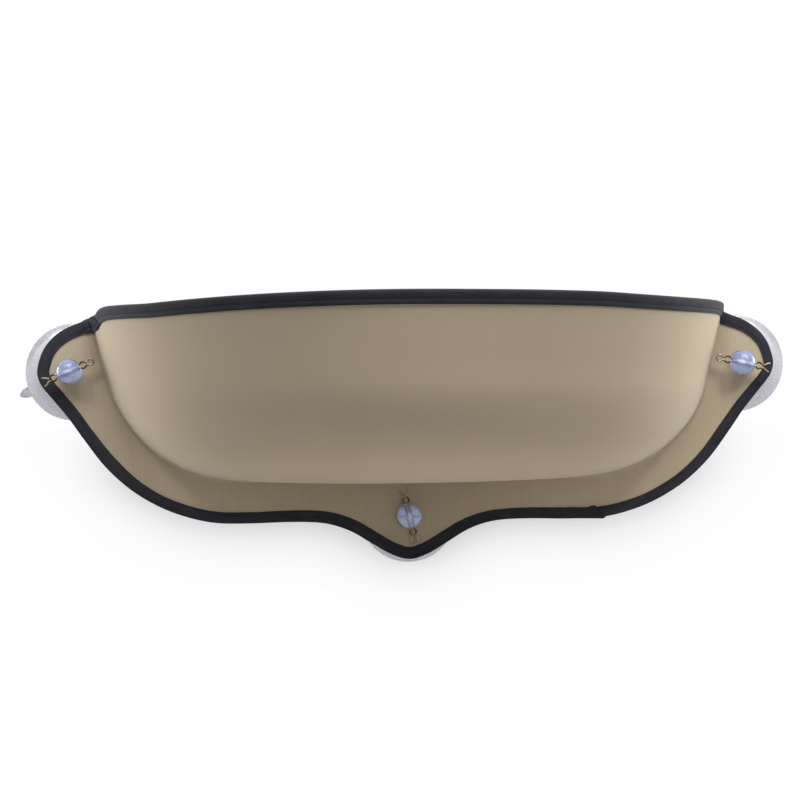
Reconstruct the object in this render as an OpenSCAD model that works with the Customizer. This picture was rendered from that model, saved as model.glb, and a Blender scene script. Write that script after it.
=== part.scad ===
// Window mounted cat perch: a moulded half bowl sewn to a flat back panel with
// two ears and a lower lobe, held to the glass by three suction cups. Each cup
// has a round knob that comes through the panel and is locked by a wire clip.
// Millimetres. +Z is up and +Y points at the glass. The origin is on the glass,
// midway between the two upper suction cups.

/* [Panel] */
// Distance from the bowl's rim to the axis of an upper suction cup
ear_gap = 17.1; // [15:0.1:30]
// Distance from the axis of an upper suction cup to the edge of its ear
ear_margin = 30.5; // [28:0.5:34]
// Distance from the bowl's underside to the axis of the lower suction cup
floor_gap = 35.5; // [32:0.5:50]
// Distance from the axis of the lower suction cup to the panel's lower tip
tip_margin = 41; // [36:0.5:45]
// Height of the rim line above the upper suction cups
rim_rise = 57.5; // [54:0.5:62]
// Thickness of the stiff foam board in the back panel
board_t = 3; // [2:0.5:6]
// Thickness of each cloth facing on the board
facing_t = 0.6; // [0.4:0.1:1]

/* [Bowl] */
// Outer radius of the bowl at its rim
bowl_r = 298; // [285:0.5:299]
// How far the centre of the rim's circle lies behind the front of the panel
bowl_set_back = 47; // [35:1:60]
// Depth of the bowl from its rim to its underside
bowl_depth = 160; // [130:1:163]
// Lean of the bowl's wall, in degrees from upright
wall_lean = 14.5; // [5:0.5:20]
// Radius of the curve from the wall to the floor of the bowl
corner_r = 115; // [80:1:130]
// Thickness of the moulded foam
foam_t = 4; // [3:0.5:5]
// Thickness of the knitted cloth on the outside
cloth_t = 0.8; // [0.5:0.1:1.2]
// Thickness of the lining cloth on the inside
lining_t = 0.6; // [0.4:0.1:1]

/* [Binding] */
// Thickness of the binding tape
tape_t = 1.2; // [0.8:0.1:1.6]
// Width of the tape on each face of the panel
edge_tape_w = 11; // [8:0.5:12]
// Width of the tape on each face of the bowl's rim
rim_tape_w = 12; // [8:0.5:15]

/* [Suction cups] */
// Diameter of each suction cup
cup_d = 91; // [80:1:95]
// Height of the cup from the glass to the shoulder that the panel rests on
cup_h = 17; // [14:0.5:22]
// Thickness of the cup's lip
lip_t = 1.6; // [1.2:0.1:2.5]
// Width of the flat ring that seals on the glass
lip_w = 5; // [3:0.5:8]
// Height of the cup's dome where the boss of the shoulder starts
dome_h = 11; // [9:0.5:13]
// Depth of the hollow under the cup
hollow_h = 6; // [4:0.5:7]
// Diameter of the shoulder
shoulder_d = 32; // [28:1:33]
// Diameter of the stem inside the panel's hole
stem_d = 22; // [18:0.5:24]
// Diameter of the round knob
knob_d = 22; // [18:0.5:22]
// Distance from the front of the panel to the middle of the knob
knob_reach = 10; // [9:0.5:14]
// Diameter of the neck between the stem and the knob
neck_d = 16; // [10:0.5:17]
// Diameter of the hole across the knob
cross_hole_d = 4.4; // [4:0.1:6]
// Radius from the cup's axis to the end of its pull tab
tab_reach = 55; // [50:1:62]
// Width of the pull tab
tab_w = 12; // [8:1:18]
// Thickness of the pull tab
tab_t = 2.4; // [1.5:0.1:3]

/* [Wire clips] */
// Thickness of the clip's wire
wire_d = 1.4; // [1:0.1:1.6]
// Half of the clip's length
clip_half = 25; // [22:0.5:27]
// Half of the space between the middles of the two strands in the knob
strand_offset = 1.1; // [0.9:0.05:1.2]
// Half of the width of the clip's eyes and ends
clip_flare = 3.4; // [2.8:0.1:4]

/* [Pad] */
// Space between the side of the pad and the lining, measured level
pad_side_gap = 8; // [4:1:40]
// Height of the pad at its crown
pad_h = 34; // [20:1:45]
// Radius of the pad's two back corners, in plan
pad_corner_r = 36; // [20:1:60]
// Thickness of the pad's fleece cover
fleece_t = 2; // [1:0.5:4]
// Space between the back of the pad and the lining
pad_back_gap = 4; // [2:0.5:15]

/* [Clearances] */
// Space round each stem in its hole
stem_clearance = 0.3; // [0.2:0.05:0.6]
// Space between a shoulder and the back of the panel
shoulder_clearance = 0.3; // [0.1:0.1:1]
// Space between the rim's tape and the wall that it is folded over
tape_clearance = 0.2; // [0.1:0.05:0.4]
// Space between the pad and the floor of the bowl
pad_clearance = 0.3; // [0.2:0.1:2]

/* [Hidden] */

// One overrun that carries every cut past the face that it opens
overrun = 1;
// Segments of the round shapes, of the bowl and of the cups' outlines
$fn = 96;
bowl_segments = 180;
cup_segments = 120;

// Levels of the layers, from the glass (0) towards the room (negative Y)
rear_y = -(cup_h + shoulder_clearance);
board_rear_y = rear_y - facing_t;
board_front_y = board_rear_y - board_t;
cavity_y = board_front_y - facing_t;
foam_rear_y = cavity_y - lining_t;
foam_front_y = foam_rear_y - foam_t;
front_y = foam_front_y - cloth_t;
rim_z = rim_rise;
axis_y = front_y + bowl_set_back;

// The bowl's profile round its upright axis, as [radius, height], moved inwards
// by the depth t into the wall: a leaning wall, a round corner and a flat floor
floor_z = rim_z - bowl_depth;
corner_steps = 14;
corner_top = floor_z + corner_r * (1 - sin(wall_lean));
corner_mid_r = bowl_r - (rim_z - corner_top) * tan(wall_lean) - corner_r * cos(wall_lean);
corner_mid_z = floor_z + corner_r;
function wall_radius(t, z) =
    corner_mid_r + (corner_r - t) / cos(wall_lean) + (z - corner_mid_z) * tan(wall_lean);
function bowl_profile(t, top_z) = concat(
    [[0, top_z], [wall_radius(t, top_z), top_z]],
    [for (i = [0 : corner_steps])
        let (a = wall_lean + (90 - wall_lean) * i / corner_steps)
        [corner_mid_r + (corner_r - t) * cos(a), corner_mid_z - (corner_r - t) * sin(a)]],
    [[0, floor_z + t]]);

// Depths of the layers into the bowl's wall
foam_in = cloth_t + foam_t;
lining_in = foam_in + lining_t;
// How far the rim's tape stands out of the wall
tape_out = tape_clearance + tape_t;
// Half width of the bowl where its wall meets the panel, over the binding
junction_r = wall_radius(-tape_out, rim_z);
junction_x = sqrt(pow(junction_r, 2) - pow(bowl_set_back, 2));
// Half width of the hollow at the back panel, inside the binding
cavity_r = wall_radius(lining_in + tape_out, rim_z);
cavity_x = sqrt(pow(cavity_r, 2) - pow(axis_y - cavity_y, 2));

// Places of the suction cups, the way each is turned, and how far the stems go
cup_x = junction_x + ear_gap;
lower_cup_z = floor_z - floor_gap;
left_turn = 203;
right_turn = 168;
lower_turn = 102;
half_turn = 180;
knob_h = -front_y + knob_reach;
stem_h = -front_y;

// Width of the panel over its binding, from ear to ear, and its height from the
// rim line to the lower tip
panel_w = 2 * (cup_x + ear_margin);
panel_drop = rim_z - lower_cup_z + tip_margin;

// Right half of the panel's outline over the binding, from the rim line round
// the ear to the lower tip: across as a share of half the width, and down as a
// share of the drop
outline_shares = [
    [0.800, 0], [0.822, 0.003], [0.842, 0.017], [0.862, 0.036], [0.885, 0.051],
    [0.912, 0.066], [0.938, 0.087], [0.965, 0.120], [0.987, 0.168], [1, 0.235],
    [0.995, 0.279], [0.981, 0.313], [0.952, 0.364], [0.915, 0.431],
    [0.874, 0.516], [0.819, 0.621], [0.752, 0.711], [0.676, 0.779],
    [0.600, 0.822], [0.524, 0.846], [0.437, 0.850], [0.335, 0.847],
    [0.262, 0.849], [0.210, 0.860], [0.157, 0.888], [0.105, 0.933],
    [0.052, 0.978], [0, 1]
];
// Points that the curve gives each stretch of the outline
outline_steps = 3;

half_outline = [for (s = outline_shares) [s[0] * panel_w / 2, rim_z - s[1] * panel_drop]];

function mirrored(p) = [-p[0], p[1]];

// A smooth curve through four points a, b, c and d, between b and c
function curve_point(a, b, c, d, t) =
    (2 * b + (c - a) * t + (2 * a - 5 * b + 4 * c - d) * pow(t, 2)
    + (3 * b - a - 3 * c + d) * pow(t, 3)) / 2;

// The curve through a list of points, with the tangent ends given by two more
function curve(points, before, after, steps) =
    let (all = concat([before], points, [after]))
    concat(
        [for (i = [1 : len(all) - 3], k = [0 : steps - 1])
            curve_point(all[i - 1], all[i], all[i + 1], all[i + 2], k / steps)],
        [points[len(points) - 1]]);

right_curve = curve(
    half_outline,
    2 * half_outline[0] - [half_outline[1][0], rim_z],
    mirrored(half_outline[len(half_outline) - 2]),
    outline_steps);
outline_last = len(right_curve) - 1;
panel_outline = concat(
    right_curve,
    [for (i = [outline_last - 1 : -1 : 0]) mirrored(right_curve[i])]);

// A closed outline moved inwards along its normals, each point by d
function unit(v) = v / norm(v);
function inward(a, b, c) =
    let (along = unit(unit(b - a) + unit(c - b)), half = along * unit(c - b))
    [along[1], -along[0]] / half;
function inset(points, d) =
    let (n = len(points))
    [for (i = [0 : n - 1])
        points[i] + d * inward(points[(i + n - 1) % n], points[i], points[(i + 1) % n])];

// A slab with an outline in X and Z, between two levels of Y
module slab(points, y_far, y_near)
    translate([0, y_far, 0]) rotate([90, 0, 0])
        linear_extrude(height = y_far - y_near) polygon(points);

// The three holes that the stems pass through
module stem_holes(y_far, y_near)
    for (p = [[-cup_x, 0], [cup_x, 0], [0, lower_cup_z]])
        translate([p[0], y_far + overrun, p[1]]) rotate([90, 0, 0])
            cylinder(h = y_far - y_near + 2 * overrun, d = stem_d + 2 * stem_clearance);

// Solid of revolution of the bowl, its surface moved inwards by t
module bowl_mass(t, top_z)
    translate([0, axis_y, 0]) rotate_extrude($fn = bowl_segments) polygon(bowl_profile(t, top_z));

// All that lies in front of the level y
module in_front_of(y)
    translate([-panel_w, y - 2 * bowl_r, -2 * panel_drop])
        cube([2 * panel_w, 2 * bowl_r, 4 * panel_drop]);

// The part of the bowl's solid in front of the level y, trimmed by the outline
module front_bowl(t, y, trim)
    intersection() {
        bowl_mass(t, rim_z + 2 * tape_t);
        slab(trim, y, y - 2 * bowl_r);
    }

stack_outline = inset(panel_outline, tape_t);

// One moulded layer of the bowl with its flange, between two depths
module moulded_layer(t_out, t_in, y_far, y_near)
    difference() {
        union() {
            slab(stack_outline, y_far, y_near);
            front_bowl(t_out, y_far, stack_outline);
        }
        bowl_mass(t_in, rim_z + 3 * tape_t);
        stem_holes(y_far, y_near);
    }

module bowl_foam_shell() color("dimgray")
    moulded_layer(cloth_t, foam_in, foam_rear_y, foam_front_y);

module bowl_outer_cloth() color([0.66, 0.58, 0.46])
    moulded_layer(0, cloth_t, foam_front_y, front_y);

module bowl_lining() color([0.70, 0.63, 0.52])
    moulded_layer(foam_in, lining_in, cavity_y, foam_rear_y);

// One flat layer of the back panel
module panel_layer(y_far, y_near)
    difference() {
        slab(stack_outline, y_far, y_near);
        stem_holes(y_far, y_near);
    }

module back_board() color("dimgray") panel_layer(board_rear_y, board_front_y);
module board_front_facing() color([0.70, 0.63, 0.52]) panel_layer(board_front_y, cavity_y);
module board_rear_facing() color([0.62, 0.55, 0.44]) panel_layer(rear_y, board_rear_y);

// Tape folded over an edge: two legs on the faces and a wrap round the edge,
// from the level y_far to y_near of the layers that it holds
module folded_tape(y_far, y_near, leg_w)
    difference() {
        slab(panel_outline, y_far + tape_t, y_near - tape_t);
        slab(inset(panel_outline, tape_t + leg_w), y_far + tape_t + overrun, y_near - tape_t - overrun);
        slab(stack_outline, y_far, y_near);
    }

// The space above the hollow of the bowl, where the two edges part
module top_gap(half_w)
    translate([-half_w, rear_y - 2 * bowl_r, rim_z - panel_drop / 3])
        cube([2 * half_w, 3 * bowl_r, panel_drop]);

module edge_binding() color([0.13, 0.13, 0.16])
    difference() {
        folded_tape(rear_y, front_y, edge_tape_w);
        top_gap(junction_x);
    }

module back_top_binding() color([0.13, 0.13, 0.16]) {
    // The wrap and the rear leg, between the ends of the edge binding
    intersection() {
        folded_tape(rear_y, cavity_y, edge_tape_w);
        top_gap(junction_x);
        translate([-panel_w, cavity_y, -panel_drop]) cube([2 * panel_w, bowl_r, 2 * panel_drop]);
    }
    // The front leg, inside the hollow
    intersection() {
        folded_tape(rear_y, cavity_y, edge_tape_w);
        top_gap(cavity_x);
        in_front_of(cavity_y);
        bowl_mass(lining_in + tape_clearance, rim_z + tape_t);
    }
}

module rim_binding() color([0.16, 0.16, 0.19])
    intersection() {
        difference() {
            front_bowl(-tape_out, cavity_y, panel_outline);
            bowl_mass(lining_in + tape_out, rim_z + 3 * tape_t);
            // The wall that the tape is folded over
            difference() {
                front_bowl(-tape_clearance, cavity_y + overrun, stack_outline);
                bowl_mass(lining_in + tape_clearance, rim_z + 3 * tape_t);
            }
            // All below the tape's lower edge
            slab(inset(panel_outline, tape_t + rim_tape_w), cavity_y + overrun, cavity_y - 2 * bowl_r);
            // The flange and its own binding, where the outer leg ends
            difference() {
                slab(inset(panel_outline, -overrun), cavity_y + overrun, front_y - tape_t);
                bowl_mass(0, rim_z + 3 * tape_t);
            }
            // The front leg of the back panel's own tape
            translate([-cavity_x, cavity_y - tape_t, -panel_drop])
                cube([2 * cavity_x, tape_t + overrun, 2 * panel_drop]);
        }
        top_gap(junction_x + overrun);
    }

// The cup's section from the axis out, as [radius, height off the glass]: the
// hollow, the flat lip, the dome and the boss under the shoulder
dome_steps = 8;
dome_r = cup_d / 2;
boss_r = shoulder_d / 2;
dome_section = concat(
    [for (i = [0 : dome_steps])
        let (share = i / dome_steps)
        [share * (dome_r - lip_w), hollow_h * cos(90 * pow(share, 2))]],
    [[dome_r, 0]],
    [for (i = [0 : dome_steps])
        let (share = i / dome_steps)
        [dome_r + (boss_r - dome_r) * share, lip_t + (dome_h - lip_t) * sin(90 * share)]],
    [[boss_r, cup_h], [0, cup_h]]);

// A suction cup at a place on the glass: dome, stem, neck, knob and pull tab,
// with the hole across the knob along the direction turn
module suction_cup(x, z, turn)
    translate([x, 0, z]) rotate([90, 0, 0]) rotate([0, 0, turn])
        difference() {
            union() {
                rotate_extrude($fn = cup_segments) polygon(dome_section);
                cylinder(h = stem_h, d = stem_d);
                cylinder(h = knob_h, d = neck_d);
                translate([0, 0, knob_h]) sphere(d = knob_d);
                pull_tab();
            }
            translate([0, 0, knob_h]) rotate([0, 90, 0])
                cylinder(h = 2 * knob_d, d = cross_hole_d, center = true);
        }

// A tongue on the edge of the cup, for peeling it off the glass
module pull_tab() {
    root_r = dome_r - lip_w;
    translate([0, 0, lip_t / 2]) {
        translate([root_r, -tab_w / 2, 0])
            cube([tab_reach - root_r - tab_w / 2, tab_w, tab_t]);
        translate([tab_reach - tab_w / 2, 0, 0]) cylinder(h = tab_t, d = tab_w);
    }
}

module left_suction_cup() color([0.84, 0.85, 0.93, 0.6]) suction_cup(-cup_x, 0, left_turn);
module right_suction_cup() color([0.84, 0.85, 0.93, 0.6]) suction_cup(cup_x, 0, right_turn);
module lower_suction_cup() color([0.84, 0.85, 0.93, 0.6]) suction_cup(0, lower_cup_z, lower_turn);

// The clip's upper strand from its open end to the closed loop: along as a share
// of the length that stands out of the knob, and across as a share of the flare
clip_open_shares = [[1, 1.2], [0.82, 0.95], [0.57, 0.37], [0.4, 0.68], [0.23, 0.88], [0.07, 0.45]];
clip_loop_shares = [[0.75, 0.78], [0.93, 0.62], [1, 0]];
clip_steps = 2;
clip_sides = 8;

clip_out = clip_half - knob_d / 2;
function clip_point(share) = [knob_d / 2 + share[0] * clip_out, share[1] * clip_flare];
open_side = [for (share = clip_open_shares) clip_point(share)];
in_knob = [[knob_d / 3, strand_offset], [-knob_d / 3, strand_offset]];
closed_side = [for (i = [len(open_side) - 1 : -1 : 2]) mirrored(open_side[i])];
end_loop = [for (share = clip_loop_shares) mirrored(clip_point(share))];
upper_strand = concat(open_side, in_knob, closed_side, end_loop);
clip_points = concat(
    upper_strand,
    [for (i = [len(upper_strand) - 2 : -1 : 0]) [upper_strand[i][0], -upper_strand[i][1]]]);
clip_route = curve(
    clip_points,
    2 * clip_points[0] - clip_points[1],
    2 * clip_points[len(clip_points) - 1] - clip_points[len(clip_points) - 2],
    clip_steps);

// A round wire along a route in a plane, as one closed solid
module wire(route, d, sides) {
    n = len(route);
    rings = [for (i = [0 : n - 1])
        let (
            along = unit(route[min(i + 1, n - 1)] - route[max(i - 1, 0)]),
            across = [-along[1], along[0]]
        )
        for (k = [0 : sides - 1])
            let (a = 360 * k / sides, p = route[i] + across * cos(a) * d / 2)
            [p[0], p[1], sin(a) * d / 2]];
    skin = [for (i = [0 : n - 2], k = [0 : sides - 1])
        let (a = i * sides + k, b = i * sides + (k + 1) % sides)
        each [[a, b + sides, b], [a, a + sides, b + sides]]];
    caps = [for (k = [1 : sides - 2])
        each [[0, k, k + 1], [(n - 1) * sides, (n - 1) * sides + k + 1, (n - 1) * sides + k]]];
    polyhedron(points = rings, faces = concat(skin, caps));
}

// A wire clip through the hole of the knob at a place on the glass
module wire_clip(x, z, turn)
    translate([x, 0, z]) rotate([90, 0, 0]) rotate([0, 0, turn])
        translate([0, 0, knob_h]) wire(clip_route, wire_d, clip_sides);

module left_wire_clip() color("darkkhaki") wire_clip(-cup_x, 0, left_turn);
module right_wire_clip() color("darkkhaki") wire_clip(cup_x, 0, right_turn + half_turn);
module lower_wire_clip() color("darkkhaki") wire_clip(0, lower_cup_z, lower_turn);

// The pad's layers from its underside to its crown. Up to its widest line, where
// the two halves of the cover are sewn together, each layer follows the curve of
// the bowl, and is given as [height, inset of the back edge]. Above that line
// each is given as [height, inset all round]. Heights are shares of the pad's
// height and insets are shares of half its depth.
pad_low_shares = [[0, 0.16], [0.1, 0.07], [0.22, 0.03], [0.36, 0.01], [0.5, 0]];
pad_top_shares = [[0.63, 0.015], [0.77, 0.06], [0.88, 0.15], [0.96, 0.32], [0.99, 0.6]];
seam_layer = len(pad_low_shares) - 1;
last_layer = seam_layer + len(pad_top_shares);
pad_layer_shares = concat(pad_low_shares, pad_top_shares);

// Radius of the bowl's lining at a height above its floor, less the pad's gap
inner_corner_r = corner_r - lining_in;
function pad_radius(h) =
    corner_mid_r + sqrt(pow(inner_corner_r, 2) - pow(inner_corner_r - h, 2)) - pad_side_gap;

pad_floor_z = floor_z + lining_in + pad_clearance;
pad_back_y = cavity_y - pad_back_gap - axis_y;
pad_draw_in = pad_back_gap / 2;
pad_seam_r = pad_radius(pad_low_shares[seam_layer][0] * pad_h);
half_depth = (pad_seam_r + pad_back_y) / 2;
pad_arc_steps = 20;
pad_corner_steps = 4;
pad_back_steps = 7;

// The pad's plan at a radius and a back edge, measured from the bowl's axis: a
// half disc with round back corners, its back edge drawn in between them
function pad_plan(r, back, corner) =
    let (
        centre = [sqrt(pow(r - corner, 2) - pow(back - corner, 2)), back - corner],
        turn = atan2(centre[1], centre[0]),
        round_corner = [for (i = [1 : pad_corner_steps])
            let (a = turn + (90 - turn) * i / pad_corner_steps)
            centre + corner * [cos(a), sin(a)]]
    )
    concat(
        [for (i = [0 : pad_arc_steps])
            let (a = -180 - turn + (180 + 2 * turn) * i / pad_arc_steps)
            r * [cos(a), sin(a)]],
        round_corner,
        [for (i = [1 : pad_back_steps])
            let (share = 1 - i / (pad_back_steps + 1))
            [centre[0] * (2 * share - 1), back - pad_draw_in * sin(180 * share)]],
        [for (i = [len(round_corner) - 1 : -1 : 0]) mirrored(round_corner[i])]);

// One layer of the pad's surface moved inwards by t, as a ring of points
function pad_ring(t, layer) =
    let (
        h = pad_layer_shares[layer][0] * pad_h,
        in = pad_layer_shares[layer][1] * half_depth + t,
        r = layer > seam_layer ? pad_seam_r - in : pad_radius(h) - t
    )
    [for (p = pad_plan(r, pad_back_y - in, pad_corner_r * (1 - in / half_depth / 2)))
        [p[0], axis_y + p[1], pad_floor_z + t + h * (pad_h - 2 * t) / pad_h]];
function pad_rings(t, from, step, to) = [for (i = [from : step : to]) pad_ring(t, i)];
function pad_point(z) = [0, axis_y + pad_back_y - half_depth, z];

// A closed solid through a row of rings, with a point in the middle of each end.
// Each face is split the same way whether the rings rise or fall, so that two
// solids that share a surface fit without an overlap.
module loft(rings, start, end) {
    n = len(rings[0]);
    m = len(rings);
    skin = [for (i = [0 : m - 2], k = [0 : n - 1])
        let (
            a = i * n + k,
            b = i * n + (k + 1) % n,
            rising = rings[i + 1][0][2] > rings[i][0][2]
        )
        each rising
            ? [[a, b, b + n], [a, b + n, a + n]]
            : [[a, b, a + n], [b, b + n, a + n]]];
    ends = [for (k = [0 : n - 1])
        each [[m * n, (k + 1) % n, k],
              [m * n + 1, (m - 1) * n + k, (m - 1) * n + (k + 1) % n]]];
    polyhedron(
        points = concat([for (ring = rings) each ring], [start, end]),
        faces = concat(skin, ends));
}

module pad_filling() color("white")
    loft(
        pad_rings(fleece_t, 0, 1, last_layer),
        pad_point(pad_floor_z + fleece_t),
        pad_point(pad_floor_z + pad_h - fleece_t));

module pad_top_fleece() color([0.80, 0.76, 0.68])
    loft(
        concat(
            pad_rings(fleece_t, last_layer, -1, seam_layer),
            pad_rings(0, seam_layer, 1, last_layer)),
        pad_point(pad_floor_z + pad_h - fleece_t),
        pad_point(pad_floor_z + pad_h));

module pad_base_cloth() color([0.66, 0.58, 0.46])
    loft(
        concat(
            pad_rings(0, 0, 1, seam_layer),
            pad_rings(fleece_t, seam_layer, -1, 0)),
        pad_point(pad_floor_z),
        pad_point(pad_floor_z + fleece_t));

bowl_foam_shell();
bowl_outer_cloth();
bowl_lining();
back_board();
board_front_facing();
board_rear_facing();
edge_binding();
rim_binding();
back_top_binding();
left_suction_cup();
right_suction_cup();
lower_suction_cup();
left_wire_clip();
right_wire_clip();
lower_wire_clip();
pad_top_fleece();
pad_base_cloth();
pad_filling();
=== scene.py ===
"""Looks of a window mounted cat perch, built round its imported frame.

Metres. +Z is up and +Y points at the glass. The origin lies on the glass, midway
between the two upper suction cups.
"""

import logging
import math
from collections.abc import Callable, Sequence
from dataclasses import dataclass, field
from enum import Enum

import bpy
import numpy as np
from mathutils import Matrix, Vector


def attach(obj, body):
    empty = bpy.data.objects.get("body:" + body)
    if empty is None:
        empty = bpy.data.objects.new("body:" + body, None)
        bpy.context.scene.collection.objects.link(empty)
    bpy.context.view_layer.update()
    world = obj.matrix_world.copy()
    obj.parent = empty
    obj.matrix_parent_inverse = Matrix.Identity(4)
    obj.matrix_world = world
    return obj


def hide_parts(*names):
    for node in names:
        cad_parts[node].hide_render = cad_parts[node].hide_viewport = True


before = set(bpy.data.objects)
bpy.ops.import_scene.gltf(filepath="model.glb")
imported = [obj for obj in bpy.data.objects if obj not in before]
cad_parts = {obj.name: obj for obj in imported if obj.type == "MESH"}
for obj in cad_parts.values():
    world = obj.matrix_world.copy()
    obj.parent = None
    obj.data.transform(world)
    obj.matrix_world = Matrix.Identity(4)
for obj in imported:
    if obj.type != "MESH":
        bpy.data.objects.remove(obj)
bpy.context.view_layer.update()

log = logging.getLogger("cat perch")

Point = tuple[float, float, float]
Colour = tuple[float, float, float, float]
Pair = tuple[float, float]
Table = tuple[Pair, ...]
Array = np.ndarray
Piece = bpy.types.Object
Material = bpy.types.Material
Socket = bpy.types.NodeSocket

MM = 0.001
FULL_TURN = 2 * math.pi
HALF_PI = math.pi / 2

# Vertices closer than this are one
WELD_GAP = 0.002 * MM
# Share of its normal along a direction from which a face counts as looking there
FACING = 0.9
# What the middle of the frame counts as across flat cloth, well past the bowl's own cloth
FLAT_START = 1.0


# ---- bench tools


def clear_selection() -> None:
    """Leaves nothing selected, in object mode."""
    if bpy.context.mode != "OBJECT":
        bpy.ops.object.mode_set(mode="OBJECT")
    bpy.ops.object.select_all(action="DESELECT")


class Kind(Enum):
    """What a selection in edit mode is made of."""

    VERTEX = "VERT"
    EDGE = "EDGE"
    FACE = "FACE"


class Merge(Enum):
    """How one solid changes another."""

    CUT = "DIFFERENCE"
    ADD = "UNION"


def focus(piece: Piece) -> None:
    """Makes a piece the only one selected, and the active one.

    Args:
        piece: The piece.
    """
    clear_selection()
    piece.select_set(True)
    bpy.context.view_layer.objects.active = piece


def edit(piece: Piece, kind: Kind = Kind.VERTEX) -> None:
    """Opens a piece in edit mode with all of it selected.

    Args:
        piece: The mesh to open.
        kind: What a selection is made of.
    """
    focus(piece)
    bpy.ops.object.mode_set(mode="EDIT")
    bpy.ops.mesh.select_mode(type=kind.value)
    bpy.ops.mesh.select_all(action="SELECT")


def close_edit() -> None:
    """Goes back to object mode."""
    bpy.ops.object.mode_set(mode="OBJECT")


def face_outwards() -> None:
    """Turns all faces of the piece in edit mode outwards, and goes back to object mode."""
    bpy.ops.mesh.select_all(action="SELECT")
    bpy.ops.mesh.normals_make_consistent(inside=False)
    close_edit()


def edit_only(piece: Piece, kind: Kind, test: Callable[[object], bool]) -> None:
    """Opens a piece in edit mode with only those edges or faces selected that pass a test.

    Args:
        piece: The mesh to open.
        kind: Whether edges or faces are tested.
        test: Tells whether one of them is selected.
    """
    mesh = piece.data
    for items in (mesh.vertices, mesh.edges, mesh.polygons):
        items.foreach_set("select", np.zeros(len(items), dtype=bool))
    for item in mesh.edges if kind is Kind.EDGE else mesh.polygons:
        item.select = bool(test(item))
    focus(piece)
    bpy.context.tool_settings.mesh_select_mode = tuple(kind is other for other in Kind)
    bpy.ops.object.mode_set(mode="EDIT")


def add_new(name: str, tool: Callable, **settings: object) -> Piece:
    """Adds a primitive, a lamp or a camera.

    Args:
        name: Its name.
        tool: The tool that adds it.
        settings: The tool's settings.

    Returns:
        What was added.
    """
    clear_selection()
    tool(**settings)
    piece = bpy.context.view_layer.objects.active
    piece.name = piece.data.name = name
    return piece


def read(items: Sequence, key: str, width: int, kind: type = float) -> Array:
    """Reads a property of each vertex, face or corner.

    Args:
        items: The vertices, faces or corners.
        key: The property.
        width: How many numbers it has.
        kind: What the numbers are.

    Returns:
        A row of numbers for each item.
    """
    flat = np.empty(len(items) * width, dtype=kind)
    items.foreach_get(key, flat)
    return flat.reshape(-1, width)


def coordinates(piece: Piece) -> Array:
    """Gives the places of a mesh's vertices."""
    return read(piece.data.vertices, "co", 3)


def lay_vertices(piece: Piece, places: Array) -> None:
    """Moves each vertex of a mesh to its own place."""
    piece.data.vertices.foreach_set("co", np.ascontiguousarray(places, dtype=float).ravel())
    piece.data.update()


def corner_vertices(mesh: bpy.types.Mesh) -> Array:
    """Gives the number of the vertex on which each corner of a mesh's faces lies."""
    return read(mesh.loops, "vertex_index", 1, int)[:, 0]


def lay_uv(mesh: bpy.types.Mesh, uv: Array) -> None:
    """Gives each corner of a mesh's faces its own cloth coordinates."""
    layer = mesh.uv_layers.active or mesh.uv_layers.new(name="UVMap")
    layer.data.foreach_set("uv", uv.ravel())


def hang_cloth(piece: Piece, start: float = FLAT_START) -> None:
    """Gives a piece coordinates as if its cloth hung upright: across from start, and up."""
    corner = corner_vertices(piece.data)
    lay_uv(piece.data, coordinates(piece)[corner][:, [0, 2]] + [start, 0])


def unit(vectors: Array) -> Array:
    """Scales rows of vectors to a length of 1."""
    return vectors / np.linalg.norm(vectors, axis=1, keepdims=True)


def wrap(rings: Array) -> Array:
    """Closes rings of points, by giving each its first point once more."""
    return np.concatenate([rings, rings[:, :1]], axis=1)


def walk(values: Array, length: Array, where: Array) -> Array:
    """Reads rows of values, known at some lengths along a path, at other lengths."""
    return np.stack([np.interp(where, length, row) for row in values.T], axis=1)


def lay_grid(name: str, rows: Array, uv: Array | None = None) -> Piece:
    """Adds a grid and lays its rows of vertices along a shape.

    Args:
        name: The piece's name.
        rows: Places, as rows by columns by three.
        uv: The cloth's own coordinates at each place, in metres.

    Returns:
        The open sheet.
    """
    count_y, count_x = rows.shape[:2]
    piece = add_new(name, bpy.ops.mesh.primitive_grid_add, x_subdivisions=count_x - 1,
                    y_subdivisions=count_y - 1, size=1)
    start = coordinates(piece)
    column = np.rint((start[:, 0] + 0.5) * (count_x - 1)).astype(int)
    row = np.rint((start[:, 1] + 0.5) * (count_y - 1)).astype(int)
    lay_vertices(piece, rows[row, column])
    if uv is not None:
        corner = corner_vertices(piece.data)
        lay_uv(piece.data, uv[row[corner], column[corner]])
    return piece


def face_room(piece: Piece) -> None:
    """Flips an open sheet if most of it looks away from the room.

    Args:
        piece: The sheet.
    """
    faces = piece.data.polygons
    if (read(faces, "normal", 3)[:, 1] * read(faces, "area", 1)[:, 0]).sum() > 0:
        edit(piece)
        bpy.ops.mesh.flip_normals()
        close_edit()


def weld(piece: Piece) -> None:
    """Merges the vertices of a mesh that lie on each other.

    Args:
        piece: The mesh.
    """
    edit(piece)
    bpy.ops.mesh.remove_doubles(threshold=WELD_GAP)
    bpy.ops.mesh.dissolve_degenerate(threshold=WELD_GAP)
    close_edit()


def close_solid(piece: Piece) -> None:
    """Welds a mesh, fills its open ends and turns all its faces outwards.

    Args:
        piece: The mesh.
    """
    weld(piece)
    edit(piece)
    bpy.ops.mesh.select_all(action="DESELECT")
    bpy.ops.mesh.select_non_manifold(
        extend=False, use_wire=False, use_boundary=True, use_multi_face=False,
        use_non_contiguous=False, use_verts=False)
    bpy.ops.mesh.fill_holes(sides=0)
    face_outwards()


def smooth(piece: Piece, degrees: float) -> None:
    """Shades a piece smooth, apart from edges sharper than an angle."""
    focus(piece)
    bpy.ops.object.shade_smooth_by_angle(angle=math.radians(degrees))


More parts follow.
